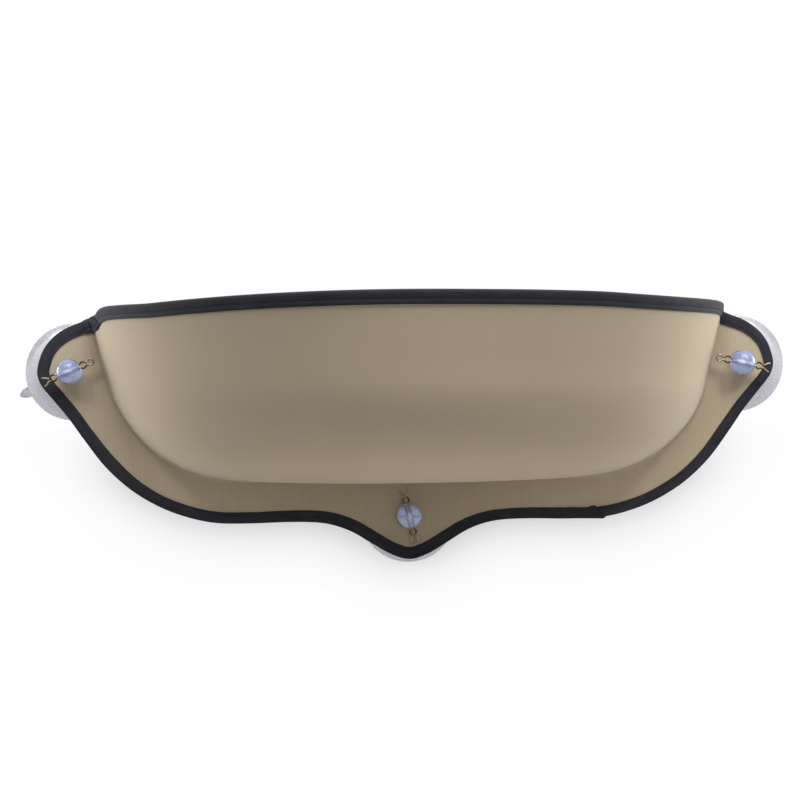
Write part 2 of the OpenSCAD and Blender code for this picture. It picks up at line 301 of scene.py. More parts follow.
def apply_all(piece: Piece) -> None:
    """Applies every modifier of a piece, in order.

    Args:
        piece: The piece.
    """
    focus(piece)
    for name in [modifier.name for modifier in piece.modifiers]:
        bpy.ops.object.modifier_apply(modifier=name)


def settle(piece: Piece) -> None:
    """Applies a piece's place, turn and scale to its mesh."""
    focus(piece)
    bpy.ops.object.transform_apply(location=True, rotation=True, scale=True)


def combine(piece: Piece, tool: Piece, merge: Merge) -> None:
    """Cuts a solid by another one, or adds it, and removes the tool.

    Args:
        piece: The solid that is kept.
        tool: The solid that cuts it or is added.
        merge: Which of the two is done.
    """
    settle(tool)
    change = piece.modifiers.new("change", "BOOLEAN")
    change.operation = merge.value
    change.object = tool
    change.solver = "EXACT"
    apply_all(piece)
    bpy.data.objects.remove(tool, do_unlink=True)


def rod(centre: Point, direction: Point, diameter: float, length: float, sides: int) -> Piece:
    """Adds a round rod, as a cutter.

    Args:
        centre: The middle of the rod.
        direction: The way its axis points.
        diameter: How thick it is.
        length: How long it is.
        sides: How many faces go round it.

    Returns:
        The rod.
    """
    turn = Vector(direction).to_track_quat("Z", "Y").to_euler()
    return add_new("rod", bpy.ops.mesh.primitive_cylinder_add, vertices=sides,
                   radius=diameter / 2, depth=length, location=centre, rotation=turn)


def spin_profile(name: str, profile: Sequence[Pair], steps: int) -> Piece:
    """Spins an open profile round the Y axis.

    Args:
        name: The piece's name.
        profile: Points as distance from the axis and height in front of the glass.
        steps: How many faces go round.

    Returns:
        The turned solid, with its axis on the origin.
    """
    piece = add_new(name, bpy.ops.mesh.primitive_circle_add, vertices=len(profile), radius=1,
                    fill_type="NOTHING")
    last = len(profile) - 1
    edit_only(piece, Kind.EDGE, lambda edge: set(edge.vertices) == {0, last})
    bpy.ops.mesh.delete(type="EDGE")
    close_edit()
    lay_vertices(piece, np.array([(radius, -height, 0.0) for radius, height in profile]))
    edit(piece)
    bpy.ops.mesh.spin(steps=steps, angle=FULL_TURN, center=(0, 0, 0), axis=(0, 1, 0))
    bpy.ops.mesh.select_all(action="SELECT")
    bpy.ops.mesh.remove_doubles(threshold=WELD_GAP)
    face_outwards()
    return piece


def sweep(name: str, rings: Array, along: Array) -> Piece:
    """Makes a closed bar through rings of points.

    Args:
        name: The piece's name.
        rings: Places, as stations by points of the section by three.
        along: The distance along the bar at each station.

    Returns:
        The bar, closed at both ends.
    """
    crisp_from = 40
    closed = wrap(rings)
    steps = np.linalg.norm(np.diff(closed, axis=1), axis=2).mean(axis=0)
    across = np.concatenate([[0.0], np.cumsum(steps)])
    uv = np.stack(np.broadcast_arrays(along[:, None], across[None, :]), axis=2)
    piece = lay_grid(name, closed, uv)
    close_solid(piece)
    smooth(piece, crisp_from)
    return piece


def smooth_curve(points: Array, steps: int) -> Array:
    """Runs a smooth curve through points.

    Args:
        points: Places in a row; the curve meets every one.
        steps: Points that each stretch gets.

    Returns:
        The curve's points, the last one included.
    """
    ends = np.concatenate([[2 * points[0] - points[1]], points, [2 * points[-1] - points[-2]]])
    share = (np.arange(steps) / steps)[:, None]
    stretches = []
    for a, b, c, d in zip(ends, ends[1:], ends[2:], ends[3:]):
        stretches.append((2 * b + (c - a) * share + (2 * a - 5 * b + 4 * c - d) * share**2
                          + (3 * b - a - 3 * c + d) * share**3) / 2)
    return np.concatenate(stretches + [points[-1:]])


def ease(value: Array | float) -> Array | float:
    """Goes smoothly from 0 to 1."""
    held = np.clip(value, 0, 1)
    return held * held * (3 - 2 * held)


def measure(path: Array) -> Array:
    """Gives the distance along a path at each of its points."""
    return np.concatenate([[0.0], np.cumsum(np.linalg.norm(np.diff(path, axis=0), axis=1))])


def dress(piece: Piece, *materials: Material) -> None:
    """Gives a piece its finishes, the first of them all over.

    Args:
        piece: The piece.
        materials: Its finishes, in the order of their numbers.
    """
    piece.data.materials.clear()
    for material in materials:
        piece.data.materials.append(material)


def hand_over(piece: Piece, body: str, slot: str, *nodes: str) -> None:
    """Tells the frame about a finished piece, and reports it.

    Args:
        piece: The piece.
        body: The body that it moves with.
        slot: Its material slot; not used.
        nodes: The CAD nodes that it replaces.
    """
    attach(piece, body)
    if nodes:
        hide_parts(*nodes)
    log.info("%s: %d faces", piece.name, len(piece.data.polygons))


# ---- finishes


class NodeBench:
    """Adds and joins the nodes of one material, or of the world."""

    def __init__(self, name: str, world: bool = False) -> None:
        """Starts an empty material or world.

        Args:
            name: Its name.
            world: Whether it is the world.
        """
        self.made = (bpy.data.worlds if world else bpy.data.materials).new(name)
        self.made.use_nodes = True
        self.tree = self.made.node_tree
        self.tree.nodes.clear()

    def set(self, socket: Socket, value: object) -> None:
        """Gives a socket a value, or joins it to another node's output.

        Args:
            socket: The node's input.
            value: A plain value or an output.
        """
        if isinstance(value, Socket):
            self.tree.links.new(value, socket)
        else:
            socket.default_value = value

    def add(self, kind: str, settings: dict | None = None, **sockets: object) -> bpy.types.Node:
        """Adds a node.

        Args:
            kind: The node's type name, without its common start.
            settings: Its own properties.
            sockets: Its inputs by name, with _ for a space, or by place as in_0.

        Returns:
            The node.
        """
        node = self.tree.nodes.new("ShaderNode" + kind)
        for key, value in (settings or {}).items():
            setattr(node, key, value)
        for key, value in sockets.items():
            place = int(key[3:]) if key.startswith("in_") else key.replace("_", " ")
            self.set(node.inputs[place], value)
        return node

    def sum(self, operation: str, *values: object) -> Socket:
        """Adds a sum of one to three values and gives its result."""
        inputs = {f"in_{place}": value for place, value in enumerate(values)}
        return self.add("Math", {"operation": operation}, **inputs).outputs[0]

    def ramp(self, value: object, start: Pair, end: Pair = (0.0, 1.0)) -> Socket:
        """Takes a value from one range to another, held at both ends."""
        return self.add("MapRange", Value=value, From_Min=start[0], From_Max=start[1],
                        To_Min=end[0], To_Max=end[1]).outputs[0]

    def wave(self, along: object, length: float) -> Socket:
        """Adds a wave that comes round after a length."""
        return self.sum("SINE", self.sum("MULTIPLY", along, FULL_TURN / length))

    def uneven(self, noise: object) -> Socket:
        """Turns a noise about 0.5 into one about 0."""
        return self.sum("SUBTRACT", noise, 0.5)

    def mottle(self, tone: object, *noises: tuple[object, float]) -> Socket:
        """Adds noises to a tone, each by its own share, and gives the result."""
        for noise, share in noises:
            tone = self.sum("ADD", tone, self.sum("MULTIPLY", self.uneven(noise), share))
        return tone

    def blend(self, share: object, first: object, second: object) -> Socket:
        """Blends two colours and gives the result."""
        node = self.add("Mix", {"data_type": "RGBA"}, in_0=share, in_6=first, in_7=second)
        return node.outputs[2]

    def noise(self, vector: object, scale: float, detail: float = 2.0,
              roughness: float = 0.5) -> Socket:
        """Adds a noise and gives its value, about 0 to 1."""
        return self.add("TexNoise", Vector=vector, Scale=scale, Detail=detail,
                        Roughness=roughness).outputs["Fac"]

    def place(self) -> Socket:
        """Gives the place on the object."""
        return self.add("TexCoord").outputs["Object"]

    def cloth_place(self) -> tuple[Socket, Socket]:
        """Gives how far across the ribs and how far along them, in metres."""
        split = self.add("SeparateXYZ", Vector=self.add("TexCoord").outputs["UV"])
        return split.outputs[0], split.outputs[1]

    def stretched(self, across: object, along: object, fine: float, long: float) -> Socket:
        """Gives cloth coordinates scaled apart, for streaks."""
        return self.add("CombineXYZ", X=self.sum("MULTIPLY", across, fine),
                        Y=self.sum("MULTIPLY", along, long)).outputs[0]

    def finish(self, shader: bpy.types.Node) -> Material:
        """Joins the shader to the output and gives the material."""
        self.add("OutputMaterial", Surface=shader.outputs[0])
        return self.made


def ink(red: float, green: float, blue: float) -> Colour:
    """Turns a colour as it is seen into the scene's own, by the sRGB curve.

    Args:
        red: Its red, from 0 to 255.
        green: Its green.
        blue: Its blue.

    Returns:
        The colour, opaque.
    """
    shares = np.array((red, green, blue)) / 255
    parts = np.where(shares <= 0.04045, shares / 12.92, ((shares + 0.055) / 1.055) ** 2.4)
    return (*(float(part) for part in parts), 1.0)


@dataclass(frozen=True)
class KnitCloth:
    """Fine ribbed knit, its ribs upright and a little uneven.

    Attributes:
        name: The material's name.
        light: Colour on the ribs.
        dark: Colour between them.
        rib: Distance from rib to rib.
        wander: How far a rib leaves its line, as a share of that distance.
        course: Height of a row of loops.
        depth: How deep the ribs are.
        rib_tone: How much the colour changes across a rib.
        streak: How much it changes from rib to rib.
        fuzz_tone: How much it changes from fibre to fibre.
        patch_tone: How much it changes over the whole cloth.
        flat_from: Where across the cloth the flat panel starts, in metres.
        flat_over: Over what width the ribs come up there.
        eased: How much of the ribs is left where the cloth is pulled over the bowl.
    """

    name: str
    light: Colour
    dark: Colour
    rib: float = 3.5 * MM
    wander: float = 0.35
    course: float = 1.1 * MM
    depth: float = 0.08 * MM
    rib_tone: float = 0.07
    streak: float = 0.25
    fuzz_tone: float = 0.4
    patch_tone: float = 0.3
    flat_from: float = 0.55
    flat_over: float = 20 * MM
    eased: float = 0.3

    def material(self) -> Material:
        """Builds the material.

        Returns:
            The cloth's material.
        """
        bench = NodeBench(self.name)
        across, along = bench.cloth_place()
        strength = bench.ramp(across, (self.flat_from - self.flat_over, self.flat_from),
                              (self.eased, 1.0))
        wander = bench.noise(bench.stretched(across, along, 25, 9), 1.0, 1.0)
        shifted = bench.sum("MULTIPLY_ADD", wander, self.wander * self.rib, across)
        rib = bench.sum("MULTIPLY", bench.wave(shifted, self.rib), strength)
        streaks = bench.noise(bench.stretched(across, along, 190, 7), 1.0, 2.0, 0.6)
        streak = bench.sum("MULTIPLY", strength, bench.uneven(streaks))
        fuzz = bench.noise(bench.stretched(across, along, 1500, 1100), 1.0, 3.0, 0.65)
        patch = bench.noise(bench.place(), 9.0, 3.0)
        tone = bench.sum("MULTIPLY_ADD", rib, self.rib_tone,
                         bench.sum("MULTIPLY_ADD", streak, self.streak, 0.5))
        tone = bench.mottle(tone, (fuzz, self.fuzz_tone), (patch, self.patch_tone))
        height = bench.sum("ADD", bench.sum("MULTIPLY", rib, 0.5),
                           bench.sum("MULTIPLY", bench.wave(along, self.course), 0.15))
        height = bench.sum("ADD", height, bench.sum("MULTIPLY", fuzz, 0.9))
        bump = bench.add("Bump", Strength=0.55, Distance=self.depth, Height=height)
        return bench.finish(bench.add(
            "BsdfPrincipled", Base_Color=bench.blend(tone, self.dark, self.light), Roughness=0.88,
            Specular_IOR_Level=0.12, Sheen_Weight=0.1, Sheen_Roughness=0.5,
            Sheen_Tint=(1.0, 0.97, 0.9, 1.0), Normal=bump.outputs[0]))


@dataclass(frozen=True)
class TapeWeave:
    """Woven binding tape: fine ribs across it, with a dull shine.

    Attributes:
        name: The material's name.
        light: Colour of the yarn.
        dark: Colour between the yarns.
        rib: Distance from rib to rib along the tape.
        warp: Distance from yarn to yarn across it.
        depth: How deep the weave is.
        weave_tone: How much the colour changes over the weave.
        fuzz_tone: How much it changes from fibre to fibre.
        wear_tone: How much it changes along the tape.
        shine: How strongly it mirrors light.
        sheen: How much its fibres catch the light.
    """

    name: str
    light: Colour
    dark: Colour
    rib: float = 1.2 * MM
    warp: float = 0.9 * MM
    depth: float = 0.15 * MM
    weave_tone: float = 0.18
    fuzz_tone: float = 0.7
    wear_tone: float = 0.8
    shine: float = 0.08
    sheen: float = 0.03

    def material(self) -> Material:
        """Builds the material.

        Returns:
            The tape's material.
        """
        bench = NodeBench(self.name)
        along, across = bench.cloth_place()
        weave = bench.sum("MULTIPLY", bench.wave(along, self.rib), bench.wave(across, self.warp))
        fuzz = bench.noise(bench.stretched(along, across, 900, 900), 1.0, 3.0, 0.7)
        wear = bench.noise(bench.stretched(along, across, 45, 160), 1.0)
        tone = bench.mottle(bench.sum("MULTIPLY_ADD", weave, self.weave_tone, 0.45),
                            (fuzz, self.fuzz_tone), (wear, self.wear_tone))
        height = bench.sum("ADD", bench.sum("MULTIPLY", weave, 0.4),
                           bench.sum("MULTIPLY", fuzz, 0.8))
        bump = bench.add("Bump", Strength=0.6, Distance=self.depth, Height=height)
        return bench.finish(bench.add(
            "BsdfPrincipled", Base_Color=bench.blend(tone, self.dark, self.light), Roughness=0.88,
            Specular_IOR_Level=self.shine, Sheen_Weight=self.sheen, Sheen_Roughness=0.5,
            Normal=bump.outputs[0]))


@dataclass(frozen=True)
class ClearVinyl:
    """Soft clear vinyl with a lilac cast that deepens where it is thick, and a painted highlight
    along the knob's cross hole.

    Attributes:
        name: The material's name.
        thin: Colour of the thin disc.
        thick: Colour of the knob.
        streak: Colour of the painted highlight along the knob's cross hole, which stands in for
            the light that the hole and its wire send through the knob.
        clear: How much light goes through the disc.
        clear_knob: How much light goes through the knob.
        knob_start: Level of Y at which the stem ends and the knob starts.
        knob_over: Over what length the colour deepens there.
        highlight_half: Half of the painted highlight's width, as its bright middle and its edge.
        highlight_wander: How far the painted highlight's edge leaves its line.
        highlight_level: How strong the painted highlight is.
    """

    name: str
    thin: Colour
    thick: Colour
    streak: Colour
    clear: float = 0.6
    clear_knob: float = 0.5
    knob_start: float = -27 * MM
    knob_over: float = 6 * MM
    highlight_half: Pair = (0.2 * MM, 2.1 * MM)
    highlight_wander: float = 6 * MM
    highlight_level: float = 0.75

    def material(self) -> Material:
        """Builds the material.

        Returns:
            The vinyl's material.
        """
        bench = NodeBench(self.name)
        place = bench.place()
        level = bench.add("SeparateXYZ", Vector=place).outputs[1]
        thick = bench.ramp(level, (self.knob_start + self.knob_over, self.knob_start))
        cloud = bench.uneven(bench.noise(place, 140.0))
        tint = bench.sum("ADD", thick, bench.sum("MULTIPLY", cloud, 0.5))
        ripple = bench.noise(place, 260.0)
        scuff = bench.noise(place, 900.0, 3.0)
        rough = bench.ramp(scuff, (0.0, 1.0), (0.12, 0.35))
        bump = bench.add("Bump", Strength=0.35, Distance=0.6 * MM, Height=ripple)
        # Painted highlight: a pale band on the knob along its cross hole, which also lets less
        # light through, stands in for the light that the hole and its wire send through the knob
        off_hole = bench.sum("ABSOLUTE", bench.cloth_place()[1])
        wavy = bench.sum("MULTIPLY_ADD", cloud, self.highlight_wander, off_hole)
        band = bench.ramp(wavy, self.highlight_half, (self.highlight_level, 0.0))
        band = bench.sum("MULTIPLY", band, thick)
        colour = bench.blend(band, bench.blend(tint, self.thin, self.thick), self.streak)
        through = bench.ramp(thick, (0.0, 1.0), (self.clear, self.clear_knob))
        seen = bench.sum("MULTIPLY", through, bench.sum("SUBTRACT", 1.0, band))
        return bench.finish(bench.add(
            "BsdfPrincipled", Base_Color=colour, Roughness=rough,
            IOR=1.45, Transmission_Weight=seen, Normal=bump.outputs[0]))


@dataclass(frozen=True)
class SpringWire:
    """Drawn spring wire with a warm, slightly dull plating, and painted shade in the eye beside
    the knob.

    Attributes:
        name: The material's name.
        bright: Colour of the plating.
        dull: Colour where it has dulled.
        painted_eye_shade: Colour of the painted shade on the wire in the eye beside the knob.
        eye: Distance from the knob's middle to the eye.
        eye_shade_half: Half of the painted shade's length, as its core and its faded end.
    """

    name: str
    bright: Colour
    dull: Colour
    painted_eye_shade: Colour
    eye: float = 15.2 * MM
    eye_shade_half: Pair = (2.2 * MM, 3.6 * MM)

    def material(self) -> Material:
        """Builds the material.

        Returns:
            The wire's material.
        """
        bench = NodeBench(self.name)
        place = bench.place()
        stain = bench.noise(place, 350.0, 3.0)
        grain = bench.noise(place, 1800.0)
        rough = bench.ramp(stain, (0.0, 1.0), (0.2, 0.45))
        bump = bench.add("Bump", Strength=0.3, Distance=0.05 * MM, Height=grain)
        # Painted shade: the wire turns dark round the eye beside the knob, where it lies in shadow
        along = bench.sum("ABSOLUTE", bench.cloth_place()[0])
        off_eye = bench.sum("ABSOLUTE", bench.sum("SUBTRACT", along, self.eye))
        eye_shade_share = bench.ramp(off_eye, self.eye_shade_half, (1.0, 0.0))
        plating = bench.blend(stain, self.bright, self.dull)
        return bench.finish(bench.add(
            "BsdfPrincipled", Base_Color=bench.blend(eye_shade_share, plating, self.painted_eye_shade), Metallic=1.0,
            Roughness=rough, Normal=bump.outputs[0]))


@dataclass(frozen=True)
class Pile:
    """Short brushed pile, as on fleece, or the open face of cut foam.

    Attributes:
        name: The material's name.
        light: Colour of the tips.
        dark: Colour between the tufts.
        tuft: How wide a tuft or cell is.
        depth: How deep the pile is.
        sheen: How much its tips catch the light.
    """

    name: str
    light: Colour
    dark: Colour
    tuft: float = 3 * MM
    depth: float = 1.2 * MM
    sheen: float = 0.4

    def material(self) -> Material:
        """Builds the material.

        Returns:
            The pile's material.
        """
        bench = NodeBench(self.name)
        place = bench.place()
        tufts = bench.noise(place, 1 / self.tuft, 3.0, 0.6)
        nap = bench.noise(place, 0.12 / self.tuft)
        fibre = bench.noise(place, 4 / self.tuft, 2.0, 0.7)
        tone = bench.sum("ADD", bench.sum("MULTIPLY", tufts, 0.7),
                         bench.sum("MULTIPLY", nap, 0.35))
        height = bench.sum("ADD", tufts, bench.sum("MULTIPLY", fibre, 0.35))
        bump = bench.add("Bump", Strength=0.6, Distance=self.depth, Height=height)
        return bench.finish(bench.add(
            "BsdfPrincipled", Base_Color=bench.blend(tone, self.dark, self.light), Roughness=0.95,
            Specular_IOR_Level=0.15, Sheen_Weight=self.sheen, Sheen_Roughness=0.6,
            Normal=bump.outputs[0]))


class Cloths:
    """The finishes of the sewn pieces, each built once."""

    def __init__(self) -> None:
        """Builds the finishes."""
        self.bowl = KnitCloth("tan ribbed knit", ink(200, 185, 160), ink(174, 159, 134)).material()
        self.lining = KnitCloth("light lining cloth", ink(205, 192, 170), ink(180, 166, 142),
                                rib=1.1 * MM, depth=0.06 * MM, eased=1.0).material()
        self.rear = KnitCloth("tan rear cloth", ink(192, 177, 152), ink(166, 151, 126)).material()
        self.foam = Pile("grey moulded foam", ink(96, 96, 98), ink(62, 62, 64),
                         tuft=0.8 * MM, depth=0.2 * MM, sheen=0.0).material()
        self.tape = TapeWeave("dark binding tape", ink(66, 65, 73), ink(38, 38, 44)).material()
        # Painted light: a copy of the ear tape for its start over the rim tape, lighter and with
        # no shine or sheen, which sets the light and shade on that lap
        self.lap_tape_painted_light = TapeWeave("dull tape in the fold", ink(76, 76, 86), ink(46, 46, 54),
                                   shine=0.0, sheen=0.0).material()
        self.rim_tape = TapeWeave("dark rim tape", ink(66, 67, 72), ink(41, 42, 47)).material()
        self.thread = TapeWeave("dark sewing thread", ink(72, 72, 78), ink(48, 48, 53),
                                rib=0.6 * MM).material()


# ---- the panel's shape


class Side(Enum):
    """The two sides of the perch, as seen from the room."""

    LEFT = -1
    RIGHT = 1


# Right half of the outline over the binding, from the rim line round the ear to
# the lower tip: across as a share of half the width, down as a share of the drop
OUTLINE_SHARES: Table = (
    (0.800, 0), (0.822, 0.003), (0.842, 0.017), (0.862, 0.036), (0.885, 0.051),
    (0.912, 0.066), (0.938, 0.087), (0.965, 0.120), (0.987, 0.168), (1, 0.235),
    (0.995, 0.279), (0.981, 0.313), (0.952, 0.364), (0.915, 0.431),
    (0.874, 0.516), (0.819, 0.621), (0.752, 0.711), (0.676, 0.779),
    (0.600, 0.822), (0.524, 0.846), (0.437, 0.850), (0.335, 0.847),
    (0.262, 0.849), (0.210, 0.860), (0.157, 0.888), (0.105, 0.933),
    (0.052, 0.978), (0, 1),
)


@dataclass(frozen=True)
class Panel:
    """The flat back panel: its outline and the levels of its layers.

    Attributes:
        half_width: From the middle to the end of an ear, over the binding.
        drop: From the rim line to the lower tip.
        rim_z: Height of the rim line.
        front_y: Front face of the cloth.
        lining_y: Back face of the flange's lining, on the board's facing.
        board_y: Front face of the board.
        board_back_y: Back face of the board.
        rear_y: Back face of the rear facing.
        tape: Thickness of the binding tape.
        cup_x: From the middle to an upper suction cup.
        lower_cup_z: Height of the lower suction cup.
        hole: Diameter of a hole for a stem.
        drill: Length of the rod that cuts a hole.
    """

    half_width: float = 343.335 * MM
    drop: float = 236.5 * MM
    rim_z: float = 57.5 * MM
    front_y: float = -26.9 * MM
    lining_y: float = -21.5 * MM
    board_y: float = -20.9 * MM
    board_back_y: float = -17.9 * MM
    rear_y: float = -17.3 * MM
    tape: float = 1.2 * MM
    cup_x: float = 312.835 * MM
    lower_cup_z: float = -138 * MM
    hole: float = 22.6 * MM
    drill: float = 40 * MM

    def outline(self, steps: int = 6) -> Array:
        """Gives the closed outline over the binding, in X and Z.

        Args:
            steps: Points that each stretch gets.

        Returns:
            Points from the rim line round the right ear, the tip and the left ear.
        """
        shares = np.array(OUTLINE_SHARES)
        right = [0, self.rim_z] + shares * [self.half_width, -self.drop]
        mirror = right[:-1][::-1] * [-1, 1]
        both = np.concatenate([right, mirror])
        lead = np.array([[2 * right[0, 0] - right[1, 0], self.rim_z]])
        curve = smooth_curve(np.concatenate([lead, both, lead * [-1, 1]]), steps)
        return curve[steps:-steps]

    @staticmethod
    def inward(outline: Array) -> Array:
        """Gives the way inwards at each point of a closed outline.

        Args:
            outline: The closed outline.

        Returns:
            Steps that move each side of the outline in by a length of 1.
        """
        before = unit(outline - np.roll(outline, 1, axis=0))
        after = unit(np.roll(outline, -1, axis=0) - outline)
        along = unit(before + after)
        half = (along * after).sum(axis=1, keepdims=True)
        return np.stack([along[:, 1], -along[:, 0]], axis=1) / half

    def sheet_outline(self, steps: int = 6) -> Array:
        """Gives the closed outline of the layers inside the binding, in X and Z."""
        outline = self.outline(steps)
        return outline + self.tape * self.inward(outline)

    def top_edge(self, outline: Array, x: Array) -> Array:
        """Gives the height of an outline's top edge at places across."""
        top = outline[: len(outline) // 4]
        return np.interp(np.abs(x), top[:, 0], top[:, 1])

    def cup_places(self) -> list[Pair]:
        """Gives the X and Z of the left, right and lower suction cup."""
        return [(-self.cup_x, 0.0), (self.cup_x, 0.0), (0.0, self.lower_cup_z)]

    def pierce(self, piece: Piece) -> None:
        """Cuts the three holes for the stems.

        Args:
            piece: The layer to cut.
        """
        sides = 64
        middle = (self.front_y + self.rear_y) / 2
        for x, z in self.cup_places():
            tool = rod((x, middle, z), (0, 1, 0), self.hole, self.drill, sides)
            combine(piece, tool, Merge.CUT)


PANEL = Panel()

# Height of the top of the rim's tape against the rim line, in millimetres, by the
# angle round the bowl from its middle, in degrees: negative angles are on the left
RIM_LINE: Table = (
    (-80, -9.9), (-77, -9.1), (-74, -8.4), (-72, -7.3), (-70, -4.7), (-67.5, -2.6),
    (-64, -1.6), (-57, -2.1), (-50, -2.9), (-45, -2.6), (-36, -1.6), (-28, -0.7),
    (-20, 0), (-10, 0.5), (0, 0.4), (10, -0.1), (20, -0.4), (31, -1.0), (40, -2.2),
    (50, -2.8), (60, -2.5), (70, -2.0), (78.5, -2.3), (80, -2.6),
)


@dataclass(frozen=True)
class Moulding:
    """The moulded sheet: a half bowl that turns through a fillet into a flange.

    A place on it is told by how far down the wall it lies, by its lane, and by
    how far it stands out of the cloth. Lanes from -1 to 1 cross the bowl, up to
    2 on either side the fillet, and up to 3 the flange.

    Attributes:
        rim_r: Radius of the bowl at its rim.
        axis_y: Level of the bowl's upright axis.
        floor_z: Height of the bowl's underside.
        lean: Lean of the wall from upright.
        corner_r: Radius of the curve from the wall to the floor.
        fillet: Radius of the fillet between the bowl and the flange.
        cloth: Thickness of the outer cloth.
        foam: Thickness of the foam.
        lining: Thickness of the lining.
        upright: How far down the wall the rim's edge turns from upright to the lean.
        fall: Lanes at which the rim starts to fall to the panel and is down, on the left.
        late_fall: The same on the right.
        root_reach: How far down the rim may meet the panel's outline.
        widen: How much further out its ends lie than a true round, at the rim and low down.
        widen_over: Over what height that grows.
        shift: How far it sits to the right, at the rim and low down.
        shift_from: How far under the rim line that starts to grow.
        shift_over: Over what height it grows.
    """

    rim_r: float = 298 * MM
    axis_y: float = 20.1 * MM
    floor_z: float = -102.5 * MM
    lean: float = math.radians(14.5)
    corner_r: float = 115 * MM
    fillet: float = 4 * MM
    cloth: float = 0.8 * MM
    foam: float = 4 * MM
    lining: float = 0.6 * MM
    upright: float = 50 * MM
    fall: Pair = (1.0, 2.0)
    late_fall: Pair = (1.15, 1.97)
    root_reach: float = 30 * MM
    widen: Pair = (1.8 * MM, 4.0 * MM)
    widen_over: float = 60 * MM
    shift: Pair = (1.0 * MM, 3.0 * MM)
    shift_from: float = 57 * MM
    shift_over: float = 55 * MM

    def set_out(self, x: Array, z: Array) -> Array:
        """Moves places across as the sewn bowl departs from a true round.

        Args:
            x: Places across on the true round.
            z: Their heights.

        Returns:
            The moved places across.
        """
        below = PANEL.rim_z - z
        lower = ease(below / self.widen_over)
        widen = self.widen[0] + (self.widen[1] - self.widen[0]) * lower
        lower = ease((below - self.shift_from) / self.shift_over)
        shift = self.shift[0] + (self.shift[1] - self.shift[0]) * lower
        return x * (1 + widen / self.rim_r) + shift

    @property
    def depth(self) -> float:
        """Thickness of cloth, foam and lining."""
        return self.cloth + self.foam + self.lining

    @property
    def corner_z(self) -> float:
        """Height of the middle of the corner's curve."""
        return self.floor_z + self.corner_r

    @property
    def wall(self) -> float:
        """Length of the straight wall, from the rim line to the corner."""
        top = self.corner_z - self.corner_r * math.sin(self.lean)
        return (PANEL.rim_z - top) / math.cos(self.lean)

    @property
    def corner(self) -> float:
        """Length of the corner's curve."""
        return self.corner_r * (HALF_PI - self.lean)

    @property
    def corner_mid(self) -> float:
        """Distance from the bowl's axis to the middle of the corner's curve."""
        return self.rim_r - self.wall * math.sin(self.lean) - self.corner_r * math.cos(self.lean)

    @property
    def set_back(self) -> float:
        """How far the bowl's axis lies behind the panel's front."""
        return self.axis_y - PANEL.front_y

    @property
    def end(self) -> float:
        """Length of the profile, to where the floor meets the panel in the middle."""
        return self.wall + self.corner + self.corner_mid - self.set_back - self.fillet

    def profile(self, down: Array) -> tuple[Array, ...]:
        """Follows the bowl's profile.

        Args:
            down: Distances from the rim line.

        Returns:
            Radius, height, and the radial and upright parts of the way outwards.
        """
        turn = np.clip((down - self.wall) / self.corner_r, 0, HALF_PI - self.lean) + self.lean
        flat = np.maximum(down - self.wall - self.corner, 0)
        straight = np.minimum(down, self.wall)
        radius = np.where(
            down < self.wall, self.rim_r - straight * math.sin(self.lean),
            self.corner_mid + self.corner_r * np.cos(turn) - flat)
        height = np.where(
            down < self.wall, PANEL.rim_z - straight * math.cos(self.lean),
            self.corner_z - self.corner_r * np.sin(turn))
        tilt = np.where(down < self.wall, self.lean * ease(down / self.upright), turn)
        return radius, height, np.cos(tilt), -np.sin(tilt)

    def fillet_middle(self, down: Array) -> tuple[Array, ...]:
        """Finds the fillet between the bowl and the flange.

        Args:
            down: Distances down the profile.

        Returns:
            X and Z of the fillet's middle, and the angle at which the bowl ends.
        """
        radius, height, out_r, out_z = self.profile(down)
        middle_r = np.maximum(radius + self.fillet * out_r, self.set_back + self.fillet)
        x = np.sqrt(np.maximum(middle_r**2 - (self.set_back + self.fillet) ** 2, 0))
        return x, height + self.fillet * out_z, np.arcsin(x / middle_r)

    def place(self, down: Array, lane: Array, out: Array | float) -> Array:
        """Gives places on the bowl and its fillet.

        Args:
            down: Distances down the profile.
            lane: Lanes from -2 to 2.
            out: How far the places stand out of the cloth.

        Returns:
            Places, three numbers each.
        """
        down, lane, out = np.broadcast_arrays(down, lane, out)
        side = np.sign(lane)
        radius, height, out_r, out_z = self.profile(down)
        x, z, limit = self.fillet_middle(down)
        angle = np.clip(lane, -1, 1) * limit
        bowl = np.stack([
            (radius + out * out_r) * np.sin(angle),
            self.axis_y - (radius + out * out_r) * np.cos(angle),
            height + out * out_z], axis=-1)
        share = np.clip(np.abs(lane) - 1, 0, 1)[..., None]
        back = -np.stack([out_r * np.sin(limit) * side, -out_r * np.cos(limit), out_z], axis=-1)
        glass = np.broadcast_to(np.array([0.0, 1.0, 0.0]), back.shape)
        between = np.arccos(np.clip((back * glass).sum(axis=-1), -1, 1))[..., None]
        arc = (np.sin((1 - share) * between) * back
               + np.sin(share * between) * glass) / np.sin(between)
        middle = np.stack([x * side, np.full(x.shape, PANEL.front_y - self.fillet), z], axis=-1)
        rounded = middle + (self.fillet - out)[..., None] * arc
        places = np.where((np.abs(lane) <= 1)[..., None], bowl, rounded)
        places[..., 0] = self.set_out(places[..., 0], places[..., 2])
        return places

    def root(self, side: Side) -> float:
        """Finds how far down the wall the fillet's end meets the sheet's outline.

        Args:
            side: The side of the perch.

        Returns:
            The distance down the profile.
        """
        tries = 301
        down = np.linspace(0, self.root_reach, tries)
        x, z, _ = self.fillet_middle(down)
        edge = PANEL.top_edge(PANEL.sheet_outline(), self.set_out(x * side.value, z))
        return float(down[np.argmin(np.abs(z - edge))])

